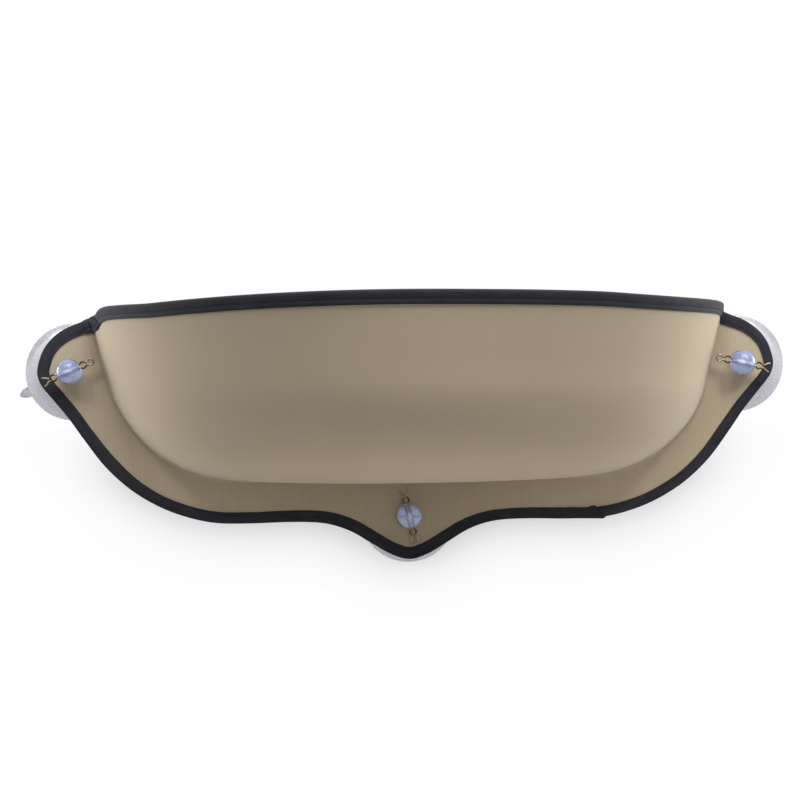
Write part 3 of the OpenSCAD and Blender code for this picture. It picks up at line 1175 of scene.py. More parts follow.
    def rim_drop(self, lane: Array) -> Array:
        """Gives how far down the profile the sheet's edge lies, under its tape.

        Args:
            lane: Lanes from -2 to 2.

        Returns:
            Distances down from the rim line.
        """
        _, _, limit = self.fillet_middle(np.zeros(1))
        degrees = np.degrees(np.clip(lane, -1, 1) * limit[0])
        table = smooth_curve(np.array(RIM_LINE, dtype=float), 6)
        top = np.interp(degrees, table[:, 0], table[:, 1]) * MM
        drop = (PANEL.tape - top) / math.cos(self.lean)
        root = np.where(lane > 0, self.root(Side.RIGHT), self.root(Side.LEFT))
        start, end = (np.where(lane > 0, late, early)
                      for late, early in zip(self.late_fall, self.fall))
        return drop + (root - drop) * ease((np.abs(lane) - start) / (end - start))


MOULDING = Moulding()


@dataclass(frozen=True)
class MouldedSheet:
    """Cloth, foam and lining of the bowl with its flange, as three closed layers.

    Attributes:
        cloths: The finishes.
        stations: Faces down the profile.
        bowl_lanes: Faces across the bowl.
        fillet_lanes: Faces across a fillet.
        flange_rings: Faces from a fillet to the outline.
        top_zone: How far down the profile the rim's own line is felt.
        even: Share of the stations' spacing that is even; the rest grows downwards.
        spread: How far the flange's stations move on along the outline, as a share.
        fillet_cloth: Width of cloth over a fillet.
        clearance: Gap between the foam and the cloths.
        cut: The cloth's cut before it was pulled over the foam; not used.
        cloth_area: Area of the outer cloth; not used.
        lining_area: Area of the lining; not used.
    """

    cloths: Cloths
    stations: int = 64
    bowl_lanes: int = 120
    fillet_lanes: int = 12
    flange_rings: int = 9
    top_zone: float = 55 * MM
    even: float = 0.75
    spread: float = 0.09
    fillet_cloth: float = 10 * MM
    clearance: float = 0.01 * MM
    cut: Pair = (0.84, 0.46)
    cloth_area: float = 0.213
    lining_area: float = 0.211

    def downs(self, lane: Array) -> Array:
        """Gives the stations down each lane, the first along the sheet's edge.

        Args:
            lane: The lanes.

        Returns:
            Distances down the profile, as stations by lanes.
        """
        share = np.linspace(0, 1, self.stations + 1)
        base = MOULDING.end * (self.even * share + (1 - self.even) * share**2)
        drop = MOULDING.rim_drop(lane)
        return base[:, None] + drop[None, :] * np.clip(1 - base / self.top_zone, 0, 1)[:, None]

    def bowl(self, name: str, out: float) -> Piece:
        """Makes the bowl and both fillets.

        Args:
            name: The sheet's name.
            out: How far it stands out of the cloth.

        Returns:
            The open sheet.
        """
        fillet = np.linspace(1, 2, self.fillet_lanes + 1)[1:]
        lane = np.concatenate([-fillet[::-1], np.linspace(-1, 1, self.bowl_lanes + 1), fillet])
        down = self.downs(lane)
        rows = MOULDING.place(down, lane[None, :], out)
        _, _, limit = MOULDING.fillet_middle(down)
        across = np.clip(lane, -1, 1)[None, :] * limit * MOULDING.rim_r
        beyond = np.sign(lane) * np.clip(np.abs(lane) - 1, 0, 1) * self.fillet_cloth
        uv = np.stack([across + beyond[None, :], down], axis=2)
        sheet = lay_grid(name, rows, uv)
        face_room(sheet)
        return sheet

    def flange(self, name: str, out: float, side: Side) -> Piece:
        """Makes one half of the flange, from the fillet to the outline.

        Args:
            name: The sheet's name.
            out: How far it stands out of the cloth.
            side: The side of the perch.

        Returns:
            The open sheet.
        """
        lane = np.array([2.0 * side.value])
        inner = MOULDING.place(self.downs(lane), lane[None, :], out)[:, 0]
        outline = PANEL.sheet_outline()
        half = outline[: len(outline) // 2 + 1]
        start = int(np.argmax(half[:, 0] > inner[0, 0] * side.value))
        outer = np.concatenate([[[inner[0, 0] * side.value, inner[0, 2]]], half[start:]])
        outer_length, inner_length = measure(outer), measure(inner)
        share = inner_length / inner_length[-1]
        share = share + self.spread * np.sin(math.pi * share)
        edge = walk(outer, outer_length, share * outer_length[-1])
        outer_rows = np.stack([edge[:, 0] * side.value, inner[:, 1], edge[:, 1]], axis=1)
        ring = np.linspace(0, 1, self.flange_rings + 1)[None, :, None]
        rows = inner[:, None, :] * (1 - ring) + outer_rows[:, None, :] * ring
        sheet = lay_grid(name, rows, rows[..., [0, 2]] + [FLAT_START, 0])
        face_room(sheet)
        return sheet

    def layer(self, name: str, out: float, depth: float) -> Piece:
        """Makes one closed layer.

        Args:
            name: The piece's name.
            out: How far its outer face stands out of the cloth's.
            depth: Its thickness.

        Returns:
            The layer, with the holes for the stems.
        """
        sheet = self.bowl(name, out)
        halves = [self.flange(name, out, side) for side in Side]
        focus(sheet)
        for half in halves:
            half.select_set(True)
        bpy.ops.object.join()
        weld(sheet)
        wall = sheet.modifiers.new("wall", "SOLIDIFY")
        wall.thickness = depth
        wall.offset = -1
        apply_all(sheet)
        PANEL.pierce(sheet)
        smooth(sheet, 30)
        return sheet

    def build(self) -> None:
        """Makes and dresses the three layers."""
        under = MOULDING.cloth + MOULDING.foam
        cloth = self.layer("bowl_knit_cover", 0.0, MOULDING.cloth)
        foam = self.layer("moulded_foam", -MOULDING.cloth - self.clearance,
                          MOULDING.foam - 2 * self.clearance)
        lining = self.layer("bowl_lining_cloth", -under, MOULDING.lining)
        for piece, material, slot, node in (
                (cloth, self.cloths.bowl, "tan_cloth", "bowl_outer_cloth"),
                (foam, self.cloths.foam, "foam", "bowl_foam_shell"),
                (lining, self.cloths.lining, "lining_cloth", "bowl_lining")):
            dress(piece, material)
            hand_over(piece, "bed", slot, node)


@dataclass(frozen=True)
class BackBoard:
    """The stiff board of the back panel between its two cloth facings.

    Attributes:
        cloths: The finishes.
        cut: Each facing's cut; not used.
        cut_area: Area of each facing; not used.
    """

    cloths: Cloths
    cut: Pair = (0.684, 0.236)
    cut_area: float = 0.12

    def slab(self, name: str, front_y: float, back_y: float) -> Piece:
        """Makes one flat layer.

        Args:
            name: The piece's name.
            front_y: Level of its front face.
            back_y: Level of its back face.

        Returns:
            The layer, with the holes for the stems.
        """
        outline = PANEL.sheet_outline(4)
        piece = add_new(name, bpy.ops.mesh.primitive_circle_add, vertices=len(outline),
                        radius=1, fill_type="NGON")
        level = np.full(len(outline), front_y)
        lay_vertices(piece, np.stack([outline[:, 0], level, outline[:, 1]], axis=1))
        edit(piece, Kind.FACE)
        bpy.ops.mesh.extrude_region_move(
            TRANSFORM_OT_translate={"value": (0, back_y - front_y, 0)})
        face_outwards()
        PANEL.pierce(piece)
        hang_cloth(piece)
        smooth(piece, 30)
        return piece

    def build(self) -> None:
        """Makes and dresses the three layers."""
        board = "stiff_board"
        for name, front_y, back_y, material, slot, node in (
                ("board_front_cloth", PANEL.lining_y, PANEL.board_y,
                 self.cloths.lining, "lining_cloth", "board_front_facing"),
                (board, PANEL.board_y, PANEL.board_back_y,
                 self.cloths.foam, "foam", "back_board"),
                ("board_rear_cloth", PANEL.board_back_y, PANEL.rear_y,
                 self.cloths.rear, "tan_cloth", "board_rear_facing")):
            piece = self.slab(name, front_y, back_y)
            dress(piece, material)
            hand_over(piece, "bed", slot, node)


# ---- bindings


@dataclass
class StitchRun:
    """A row of sewn stitches, one small thread loop copied along a line.

    Attributes:
        material: The thread's finish.
        pitch: Distance from stitch to stitch.
        length: Length of a stitch.
        thread: Thickness of the thread.
        straight: Share of a stitch that lies flat.
        dip: How far its ends go down, as a share of the thread's thickness.
        tip: How thick its ends are, as a share of the same.
        places: The vertices of the one stitch.
        faces: The vertices of each of its faces.
    """

    material: Material
    pitch: float = 3.4 * MM
    length: float = 2.4 * MM
    thread: float = 0.55 * MM
    straight: float = 0.6
    dip: float = 0.35
    tip: float = 0.55
    places: Array = field(init=False)
    faces: list[tuple[int, ...]] = field(init=False)

    def __post_init__(self) -> None:
        """Models the one stitch that is copied."""
        stitch = add_new("stitch", bpy.ops.mesh.primitive_cylinder_add, vertices=6,
                         radius=self.thread / 2, depth=self.length * self.straight,
                         rotation=(0, HALF_PI, 0))
        settle(stitch)
        reach = self.length * (1 - self.straight) / 2
        for way in (-1, 1):
            edit_only(stitch, Kind.FACE, lambda face, way=way: face.normal.x * way > FACING)
            bpy.ops.mesh.extrude_region_move(
                TRANSFORM_OT_translate={"value": (way * reach, 0, -self.dip * self.thread)})
            bpy.ops.transform.resize(value=(1, self.tip, self.tip))
            close_edit()
        self.places = coordinates(stitch)
        self.faces = [tuple(face.vertices) for face in stitch.data.polygons]
        bpy.data.objects.remove(stitch, do_unlink=True)

    def sew(self, name: str, path: Array, out: Array, slot: str) -> None:
        """Sews a row along a path.

        Args:
            name: The row's name.
            path: Places along the line.
            out: The way off the tape at each place.
            slot: The material slot of the tape.
        """
        step = 0.5 * MM
        length = measure(path)
        count = max(int(length[-1] / self.pitch), 1)
        where = (np.arange(count) + 0.5) * length[-1] / count
        middle = walk(path, length, where)
        along = unit(walk(path, length, where + step) - walk(path, length, where - step))
        side = unit(np.cross(walk(out, length, where), along))
        up = np.cross(along, side)
        across, over, high = (self.places[None, :, k:k + 1] for k in range(3))
        places = (middle[:, None] + across * along[:, None] + over * side[:, None]
                  + high * up[:, None])
        size = len(self.places)
        faces = [tuple(v + k * size for v in face) for k in range(count) for face in self.faces]
        mesh = bpy.data.meshes.new(name)
        mesh.from_pydata(places.reshape(-1, 3).tolist(), [], faces)
        row = bpy.data.objects.new(name, mesh)
        bpy.context.scene.collection.objects.link(row)
        lay_uv(mesh, np.tile(self.places[:, :2], (count, 1))[corner_vertices(mesh)])
        smooth(row, 60)
        dress(row, self.material)
        hand_over(row, "bed", slot)


@dataclass(frozen=True)
class EdgeTape:
    """The binding tape round the ears and the lobe, over all the panel's layers.

    Attributes:
        cloths: The finishes.
        stitches: The stitch.
        leg: The front leg's section, in millimetres: distance in from the tape's outer
            edge and height over the face that it lies on.
        hollow: Distance in of the section's inner side, where the panel's layers end.
        fold: How far in the fold over the edge reaches, which keeps its shape.
        stitch_in: Distance in of the stitches, on a tape of full width.
        stitch_up: Height of the stitches over the face.
        kept: Share of its width that the tape keeps, by the place across, in metres.
        ear_from: Place across from which, above the cups, the next table counts instead.
        kept_on_ear: The same shares over the right ear, wide again at the bowl.
        ends_x: Place across at which the tape starts and ends, beside the bowl.
        back_reach: Half of the length of the top tape behind the hollow.
        splice_ends: Where the tape's cut end starts to show and is cut, in X and Z.
        splice_lift: How far the cut end stands off the tape that it laps.
        splice_slant: How far it is cut aslant.
        splice_bump: How far its inner edge stands up.
        splice_round: How far its outer corner is rounded.
    """

    cloths: Cloths
    stitches: StitchRun
    leg: Table = (
        (12.20, 0.02), (12.28, 0.55), (12.00, 1.02), (11.2, 1.15), (10.4, 1.12), (9.9, 0.86),
        (9.4, 1.12), (8.2, 1.22), (6.0, 1.28), (3.8, 1.26), (2.2, 1.14), (1.1, 0.80),
        (0.35, 0.15),
    )
    hollow: float = 1.12 * MM
    fold: float = 1.2 * MM
    stitch_in: float = 9.9 * MM
    stitch_up: float = 1.0 * MM
    kept: Table = (
        (-0.34, 0.95), (-0.305, 0.95), (-0.28, 1.03), (-0.24, 0.88), (-0.195, 0.87),
        (-0.14, 0.85), (-0.075, 0.92), (0, 0.93), (0.04, 0.9), (0.085, 0.81), (0.14, 0.85),
        (0.215, 0.8), (0.262, 0.81), (0.3, 0.87), (0.335, 0.74), (0.344, 0.76),
    )
    ear_from: float = 0.28
    kept_on_ear: Table = ((0.295, 0.98), (0.342, 0.76))
    ends_x: float = 292 * MM
    back_reach: float = 294 * MM
    splice_ends: Table = ((148 * MM, -143.2 * MM), (184.5 * MM, -144.1 * MM))
    splice_lift: float = 0.5 * MM
    splice_slant: float = 12.5 * MM
    splice_bump: float = 2.4 * MM
    splice_round: float = 2.5 * MM

    def width_share(self, path: Array) -> Array:
        """Gives how much of its width the tape keeps.

        Args:
            path: Points of the edge, in X and Z.

        Returns:
            A share at each point.
        """
        x, z = path.T
        along_edge = np.interp(x, *np.array(self.kept).T)
        on_ear = np.interp(x, *np.array(self.kept_on_ear).T)
        return np.where((x > self.ear_from) & (z > 0), on_ear, along_edge)

    def narrow(self, depth: Array, share: Array | float) -> Array:
        """Draws the legs in by a share, and leaves the fold over the edge as it is."""
        return np.where(depth > self.fold, self.fold + (depth - self.fold) * share, depth)

    def section(self, near: float, far: float) -> Array:
        """Gives the tape's closed section.

        Args:
            near: Level of the stack's front face.
            far: Level of the stack's back face.

        Returns:
            Points as distance in from the outer edge, and level of Y.
        """
        front = [(d * MM, near - h * MM) for d, h in self.leg]
        wrap_round = [(0.0, near + 0.25 * (far - near)), (-0.05 * MM, (near + far) / 2),
                      (0.0, near + 0.75 * (far - near))]
        back = [(d * MM, far + h * MM) for d, h in reversed(self.leg)]
        inner = [(self.hollow, far - 0.02 * MM), (self.hollow, near + 0.02 * MM)]
        return np.array(front + wrap_round + back + inner)

    def bind(self, names: Sequence[str], path: Array, inward: Array, near: float,
             far: float) -> None:
        """Folds the tape over an edge, and sews a row of stitches on both its faces.

        Args:
            names: Names of the tape, the CAD node that it replaces, and both rows.
            path: The outer edge, in X and Z.
            inward: The way in at each point.
            near: Level of the stack's front face.
            far: Level of the stack's back face.
        """
        name, node, *rows = names
        section = self.section(near, far)
        depth = self.narrow(section[None, :, :1], self.width_share(path)[:, None, None])
        flat = path[:, None, :] + depth * inward[:, None, :]
        level = np.broadcast_to(section[None, :, 1], flat.shape[:2])
        tape = sweep(name, np.stack([flat[..., 0], level, flat[..., 1]], axis=2), measure(path))
        dress(tape, self.cloths.tape)
        hand_over(tape, "bed", "binding_tape", node)
        depth = self.narrow(np.full(len(path), self.stitch_in), self.width_share(path))
        x, z = (path + depth[:, None] * inward).T
        for row, face, facing in zip(rows, (near, far), (-1.0, 1.0)):
            line = np.stack([x, np.full(len(x), face + facing * self.stitch_up), z], axis=1)
            out = np.tile([0.0, facing, 0.0], (len(line), 1))
            self.stitches.sew(row, line, out, "binding_tape")

    def build(self) -> None:
        """Makes and dresses the tape of the ears and the lobe, and of the top edge."""
        outline = PANEL.outline()
        start = int(np.argmax(outline[:, 0] > self.ends_x))
        path, inward = outline[start:-start], PANEL.inward(outline)[start:-start]
        self.bind(("edge_tape", "edge_binding", "edge_stitches_front", "edge_stitches_back"),
                  path, inward, PANEL.front_y, PANEL.rear_y)
        self.build_splice()
        self.build_back_top()

    def build_splice(self) -> None:
        """Lays the tape's cut end over its start, low on the right.

        The end lies a little lower than the edge that it laps, and is cut aslant.
        """
        stations, full_width = 25, 12 * MM
        start, end = np.array(self.splice_ends)
        way = (end - start) / np.linalg.norm(end - start)
        inward = np.array([-way[1], way[0]])
        step = np.linspace(0, 1, stations)
        path = start + step[:, None] * (end - start)
        rings = []
        for share, point in zip(step, path):
            lift = self.splice_lift * min(1.0, 6 * share + 0.1)
            section = self.section(PANEL.front_y - lift, PANEL.rear_y + lift)
            depth = self.narrow(section[:, 0], float(self.width_share(point[None])[0]))
            past = ease((share - 0.35) / 0.65)
            risen = ease((share - 0.55) / 0.4) * ease(depth / self.stitch_in - 0.3)
            rounding = self.splice_round * max(0.0, (share - 0.9) / 0.1) ** 2
            rounded = np.maximum(depth + self.splice_bump * risen, rounding)
            along = -self.splice_slant * past * np.clip(depth / full_width, 0, 1)
            flat = point + rounded[:, None] * inward + along[:, None] * way
            rings.append(np.stack([flat[:, 0], section[:, 1], flat[:, 1]], axis=1))
        splice = sweep("edge_tape_end", np.array(rings), measure(path))
        dress(splice, self.cloths.tape)
        hand_over(splice, "bed", "binding_tape")

    def build_back_top(self) -> None:
        """Makes the tape on the panel's top edge, behind the hollow."""
        x = np.linspace(self.back_reach, -self.back_reach, 121)
        path = np.stack([x, PANEL.top_edge(PANEL.outline(), x)], axis=1)
        tangent = unit(np.gradient(path, axis=0))
        inward = np.stack([-tangent[:, 1], tangent[:, 0]], axis=1)
        self.bind(("back_top_tape", "back_top_binding", "back_top_stitches_front",
                   "back_top_stitches_rear"), path, inward, PANEL.lining_y, PANEL.rear_y)


@dataclass(frozen=True)
class RimTape:
    """The binding tape folded over the bowl's rim.

    Attributes:
        cloths: The finishes.
        stitches: The stitch.
        leg: The outer leg's section, in millimetres: distance down from the tape's top
            and height over the cloth.
        stitch_down: Distance down to the stitches.
        stitch_up: Height of the stitches over the cloth.
        last_lanes: Lanes at which the tape ends on the left and on the right.
        sewn_outside: Lanes between which the outer stitches show.
        lap_lanes: Lanes at which the ear's tape starts and ends over the rim's.
        lap_slant: How far, in lanes, that end is cut aslant.
        lap_lift: How far the ear's tape stands off the rim's.
        flange_step: Distance across of one lane on the flange.
        flange_slope: How steeply the edge falls there.
    """

    cloths: Cloths
    stitches: StitchRun
    leg: Table = (
        (12.60, 0.05), (12.70, 0.60), (12.45, 1.05), (11.6, 1.25), (10.2, 1.38), (9.0, 1.26),
        (8.3, 0.90), (7.6, 1.26), (6.2, 1.46), (4.4, 1.52), (2.8, 1.45), (1.5, 1.15),
        (0.6, 0.45),
    )
    stitch_down: float = 8.3 * MM
    stitch_up: float = 1.05 * MM
    last_lanes: Pair = (-1.6, 1.98)
    sewn_outside: Pair = (-0.85, 1.5)
    lap_lanes: Pair = (-2.3, -0.88)
    lap_slant: float = 0.035
    lap_lift: float = 0.4 * MM
    flange_step: float = 12 * MM
    flange_slope: float = 0.42

    def section(self) -> Array:
        """Gives the tape's closed section.

        Returns:
            Points as distance down from the tape's top, and height out of the cloth.
        """
        depth = MOULDING.depth / MM
        top = [(0.12, -0.8), (0.0, -depth / 2), (0.12, -depth + 0.8)]
        inner_leg = [(down, -depth - out) for down, out in reversed(self.leg)]
        core = [(1.2, -depth - 0.03), (1.15, -depth / 2), (1.2, 0.03)]
        return np.array([*self.leg, *top, *inner_leg, *core]) * MM

    def surface(self, lane: Array, down: Array, out: Array) -> Array:
        """Gives places on the tape.

        Args:
            lane: Lanes from -2.6 to 2.6; past 2 the tape lies on the flange.
            down: Distances down from the tape's top.
            out: Heights over the cloth.

        Returns:
            Places, three numbers each.
        """
        lane, down, out = np.broadcast_arrays(lane, down, out)
        edge = MOULDING.rim_drop(np.clip(lane, -2, 2)) - PANEL.tape / math.cos(MOULDING.lean)
        places = MOULDING.place(edge + down, np.clip(lane, -2, 2), out)
        past = np.clip(np.abs(lane) - 2, 0, None) * self.flange_step
        places[..., 0] += np.sign(lane) * past
        places[..., 2] -= past * self.flange_slope
        places[..., 1] = np.minimum(places[..., 1], PANEL.lining_y - 0.1 * MM)
        return places

    def top_length(self, lane: Array) -> Array:
        """Gives the distance along the tape's top at each lane."""
        return measure(self.surface(lane, np.zeros(1), np.zeros(1)))

    def build(self) -> None:
        """Makes and dresses the tape and its stitches."""
        left, right = self.last_lanes
        lane = np.concatenate([
            np.linspace(left, -1, 9)[:-1], np.linspace(-1, 1, 181), np.linspace(1, right, 25)[1:]])
        section = self.section()
        rings = self.surface(lane[:, None], section[None, :, 0], section[None, :, 1])
        tape = sweep("rim_tape", rings, self.top_length(lane))
        dress(tape, self.cloths.rim_tape)
        hand_over(tape, "bed", "rim_tape", "rim_binding")
        for name, sewn, out in (
                ("rim_stitches_outer", np.linspace(*self.sewn_outside, 239), self.stitch_up),
                ("rim_stitches_inner", np.linspace(-1, 1, 201),
                 -MOULDING.depth - self.stitch_up)):
            down = np.array([self.stitch_down])
            line = self.surface(sewn, down, np.array([out]))
            lifted = self.surface(sewn, down, np.array([out + math.copysign(MM, out)]))
            self.stitches.sew(name, line, (lifted - line) / MM, "rim_tape")
        self.build_lap()

    def build_lap(self) -> None:
        """Lays the ear tape's start over the rim tape's left end, cut aslant."""
        start, end = self.lap_lanes
        slant_from, low, full_width = -1.2, 6 * MM, 12.6 * MM
        lane = np.concatenate([np.linspace(start, -1, 27)[:-1], np.linspace(-1, end, 17)])
        down, out = self.section().T
        aslant = self.lap_slant * (down[None, :] / full_width - 0.5)
        slanted = lane[:, None] + ease((lane - slant_from) / (end - slant_from))[:, None] * aslant
        out = out + np.copysign(self.lap_lift, out + MOULDING.depth / 2)
        down = down + np.where(down > low, self.lap_lift, -0.5 * self.lap_lift)
        rings = self.surface(slanted, down[None, :], out[None, :])
        lap = sweep("ear_tape_lap", rings, self.top_length(lane))
        # The lap wears the lighter copy of the ear tape's finish without shine: painted light that
        # sets its light and shade
        dress(lap, self.cloths.lap_tape_painted_light)
        hand_over(lap, "bed", "binding_tape")


# ---- suction cups


@dataclass(frozen=True)
class SuctionCup:
    """One moulded suction cup with its knob, and the wire clip that locks it.

    Attributes:
        name: Which of the three it is.
        x: Its place across.
        z: Its height.
        turn: The way that the tab and the cross hole point, in degrees.
        clip_turn: The way that the clip's open end points, in degrees.
        radius: Outer radius of the lip.
        stem: Radius of the stem in the panel's hole.
        knob: Radius of the knob.
        knob_level: Distance of the knob's middle from the glass.
        neck_half: Half of the angle that the neck takes from the knob, in radians.
        hollow: Radius and height of the hollow that clings to the glass.
        dome: How far its top lies inside the lip, and its height.
        tab_middle: Distance of the pull tab's block from the axis.
        tab_size: The block's length, thickness and width.
        tab_edge: Radius of the tab's edges.
        cross_hole: Diameter of the hole across the knob.
        wire: Thickness of the clip's wire.
        clip_out: How far the clip reaches out of the knob.
        clip_flare: How far its strands spread from the middle.
        open_end: The strands at the clip's open end, as shares of these two.
        closed_end: The strands at its closed end.
    """

    name: str
    x: float
    z: float
    turn: float
    clip_turn: float
    radius: float = 45.5 * MM
    stem: float = 11 * MM
    knob: float = 11 * MM
    knob_level: float = 36.9 * MM
    neck_half: float = math.radians(51)
    hollow: Pair = (39.5 * MM, 6 * MM)
    dome: Pair = (27.5 * MM, 9.2 * MM)
    tab_middle: float = 44 * MM
    tab_size: Point = (12 * MM, 2.2 * MM, 12 * MM)
    tab_edge: float = 0.7 * MM
    cross_hole: float = 4.4 * MM
    wire: float = 1.64 * MM
    clip_out: float = 14 * MM
    clip_flare: float = 3.4 * MM
    open_end: Table = (
        (1, 1.2), (0.82, 0.95), (0.57, 0.37), (0.4, 0.68), (0.23, 0.88), (0.07, 0.45))
    closed_end: Table = ((0.75, 0.78), (0.93, 0.62), (1, 0))

    def profile(self) -> list[Pair]:
        """Gives the cup's section.

        Returns:
            Points as distance from the axis and height in front of the glass, from the
            hollow's top round the lip to the knob's tip.
        """
        hollow = [(s * self.hollow[0], self.hollow[1] * math.cos(HALF_PI * s * s))
                  for s in np.linspace(0, 0.97, 10)]
        lip = [(r * MM, h * MM) for r, h in (
            (40.2, 0.05), (41.0, 0), (44.6, 0), (45.3, 0.25), (45.5, 0.8), (45.3, 1.35),
            (44.6, 1.7))]
        dome = [(self.radius - s * self.dome[0], 1.6 * MM + self.dome[1] * math.sin(HALF_PI * s))
                for s in np.linspace(0.08, 0.93, 10)]
        shoulder = [(r * MM, h * MM) for r, h in (
            (17.6, 10.8), (16.5, 11.6), (16.05, 12.8), (16, 15.9), (15.7, 16.6), (15.0, 16.95),
            (11.6, 17), (11.1, 17.2))]
        stem = [(self.stem, 17.8 * MM), (self.stem, 26.2 * MM)]
        neck = [(r * MM, h * MM) for r, h in (
            (10.6, 26.8), (9.6, 27.0), (8.6, 27.4), (8.3, 28.2), (8.35, 29.2))]
        ball = [(self.knob * math.sin(a), self.knob_level - self.knob * math.cos(a))
                for a in np.linspace(self.neck_half, math.pi, 18)]
        ball[-1] = (0.0, ball[-1][1])
        return hollow + lip + dome + shoulder + stem + neck + ball

    def tongue(self) -> Piece:
        """Makes the pull tab.

        Returns:
            A tapered tongue with a round end, which starts inside the lip.
        """
        waist, tip, reach = (1, 0.9, 0.72), (1, 0.75, 0.34), (4.9 * MM, -0.35 * MM, 0)
        tab = add_new("tongue", bpy.ops.mesh.primitive_cube_add, size=1,
                      location=(self.tab_middle, -2.0 * MM, 0), scale=self.tab_size)
        settle(tab)
        edit_only(tab, Kind.FACE, lambda face: face.normal.x > FACING)
        bpy.ops.transform.resize(value=waist)
        bpy.ops.mesh.extrude_region_move(TRANSFORM_OT_translate={"value": reach})
        bpy.ops.transform.resize(value=tip)
        close_edit()
        soft = tab.modifiers.new("soft", "BEVEL")
        soft.width = self.tab_edge
        soft.segments = 3
        apply_all(tab)
        return tab

    def finish_of(self, face: bpy.types.MeshPolygon) -> int:
        """Tells which finish a face of the moulding gets.

        Args:
            face: A face of the cup, before it is laid in its place.

        Returns:
            0 on the moulding, 1 on the pull tab and 2 in the cross hole.
        """
        centre = face.center
        if math.hypot(centre.x, centre.z) > self.radius:
            return 1
        off_hole = math.hypot(centre.y + self.knob_level, centre.z)
        return 2 if abs(centre.x) < self.knob and off_hole < 0.51 * self.cross_hole else 0

    def lay(self, piece: Piece, turn: float) -> None:
        """Gives a piece modelled on the axis its coordinates, and lays it in its place.

        Args:
            piece: The piece.
            turn: How far it is turned round the axis, in degrees.
        """
        hang_cloth(piece, 0.0)
        piece.matrix_world = Matrix.Translation((self.x, 0, self.z)) @ Matrix.Rotation(
            -math.radians(turn), 4, "Y")
        settle(piece)

    def build_cup(self, materials: Sequence[Material]) -> None:
        """Makes and dresses the moulding.

        Args:
            materials: The finishes of the moulding, the pull tab and the cross hole.
        """
        steps, drill, sides = 96, 60 * MM, 24
        cup = spin_profile(f"{self.name}_cup_moulding", self.profile(), steps)
        combine(cup, self.tongue(), Merge.ADD)
        hole = rod((0, -self.knob_level, 0), (1, 0, 0), self.cross_hole, drill, sides)
        combine(cup, hole, Merge.CUT)
        dress(cup, *materials)
        for face in cup.data.polygons:
            face.material_index = self.finish_of(face)
        self.lay(cup, self.turn)
        smooth(cup, 40)
        hand_over(cup, f"{self.name}_cup", "clear_vinyl", f"{self.name}_suction_cup")

    def clip_route(self) -> list[Pair]:
        """Leads the clip's wire out of the knob at both ends and back.

        Returns:
            Points along the cross hole and across it, from one free end to the other.
        """
        start = [(self.knob + s * self.clip_out, t * self.clip_flare) for s, t in self.open_end]
        hold, apart = 0.67 * self.knob, 1.1 * MM
        inside = [(hold, apart), (-hold, apart)]
        closed = [(-x, y) for x, y in reversed(start[2:])]
        end = [(-(self.knob + s * self.clip_out), t * self.clip_flare)
               for s, t in self.closed_end]
        upper = start + inside + closed + end
        return upper + [(x, -y) for x, y in reversed(upper[:-1])]

    def build_clip(self, material: Material) -> None:
        """Makes and dresses the wire clip: a spring wire doubled back on itself.

        Args:
            material: The wire's finish.
        """
        route = self.clip_route()
        clip = add_new(f"{self.name}_clip_wire", bpy.ops.curve.primitive_bezier_curve_add)
        spline = clip.data.splines[0]
        spline.bezier_points.add(len(route) - len(spline.bezier_points))
        for knot, (x, y) in zip(spline.bezier_points, route):
            knot.co = (x, -self.knob_level, y)
            knot.handle_left_type = knot.handle_right_type = "AUTO"
        clip.data.dimensions = "3D"
        clip.data.resolution_u = 5
        clip.data.bevel_depth = self.wire / 2
        clip.data.bevel_resolution = 3
        clip.data.use_fill_caps = True
        focus(clip)
        bpy.ops.object.convert(target="MESH")
        clip = bpy.context.view_layer.objects.active
        close_solid(clip)
        self.lay(clip, self.clip_turn)
        smooth(clip, 50)
        dress(clip, material)
        hand_over(clip, f"{self.name}_clip", "spring_wire", f"{self.name}_wire_clip")


# ---- pad


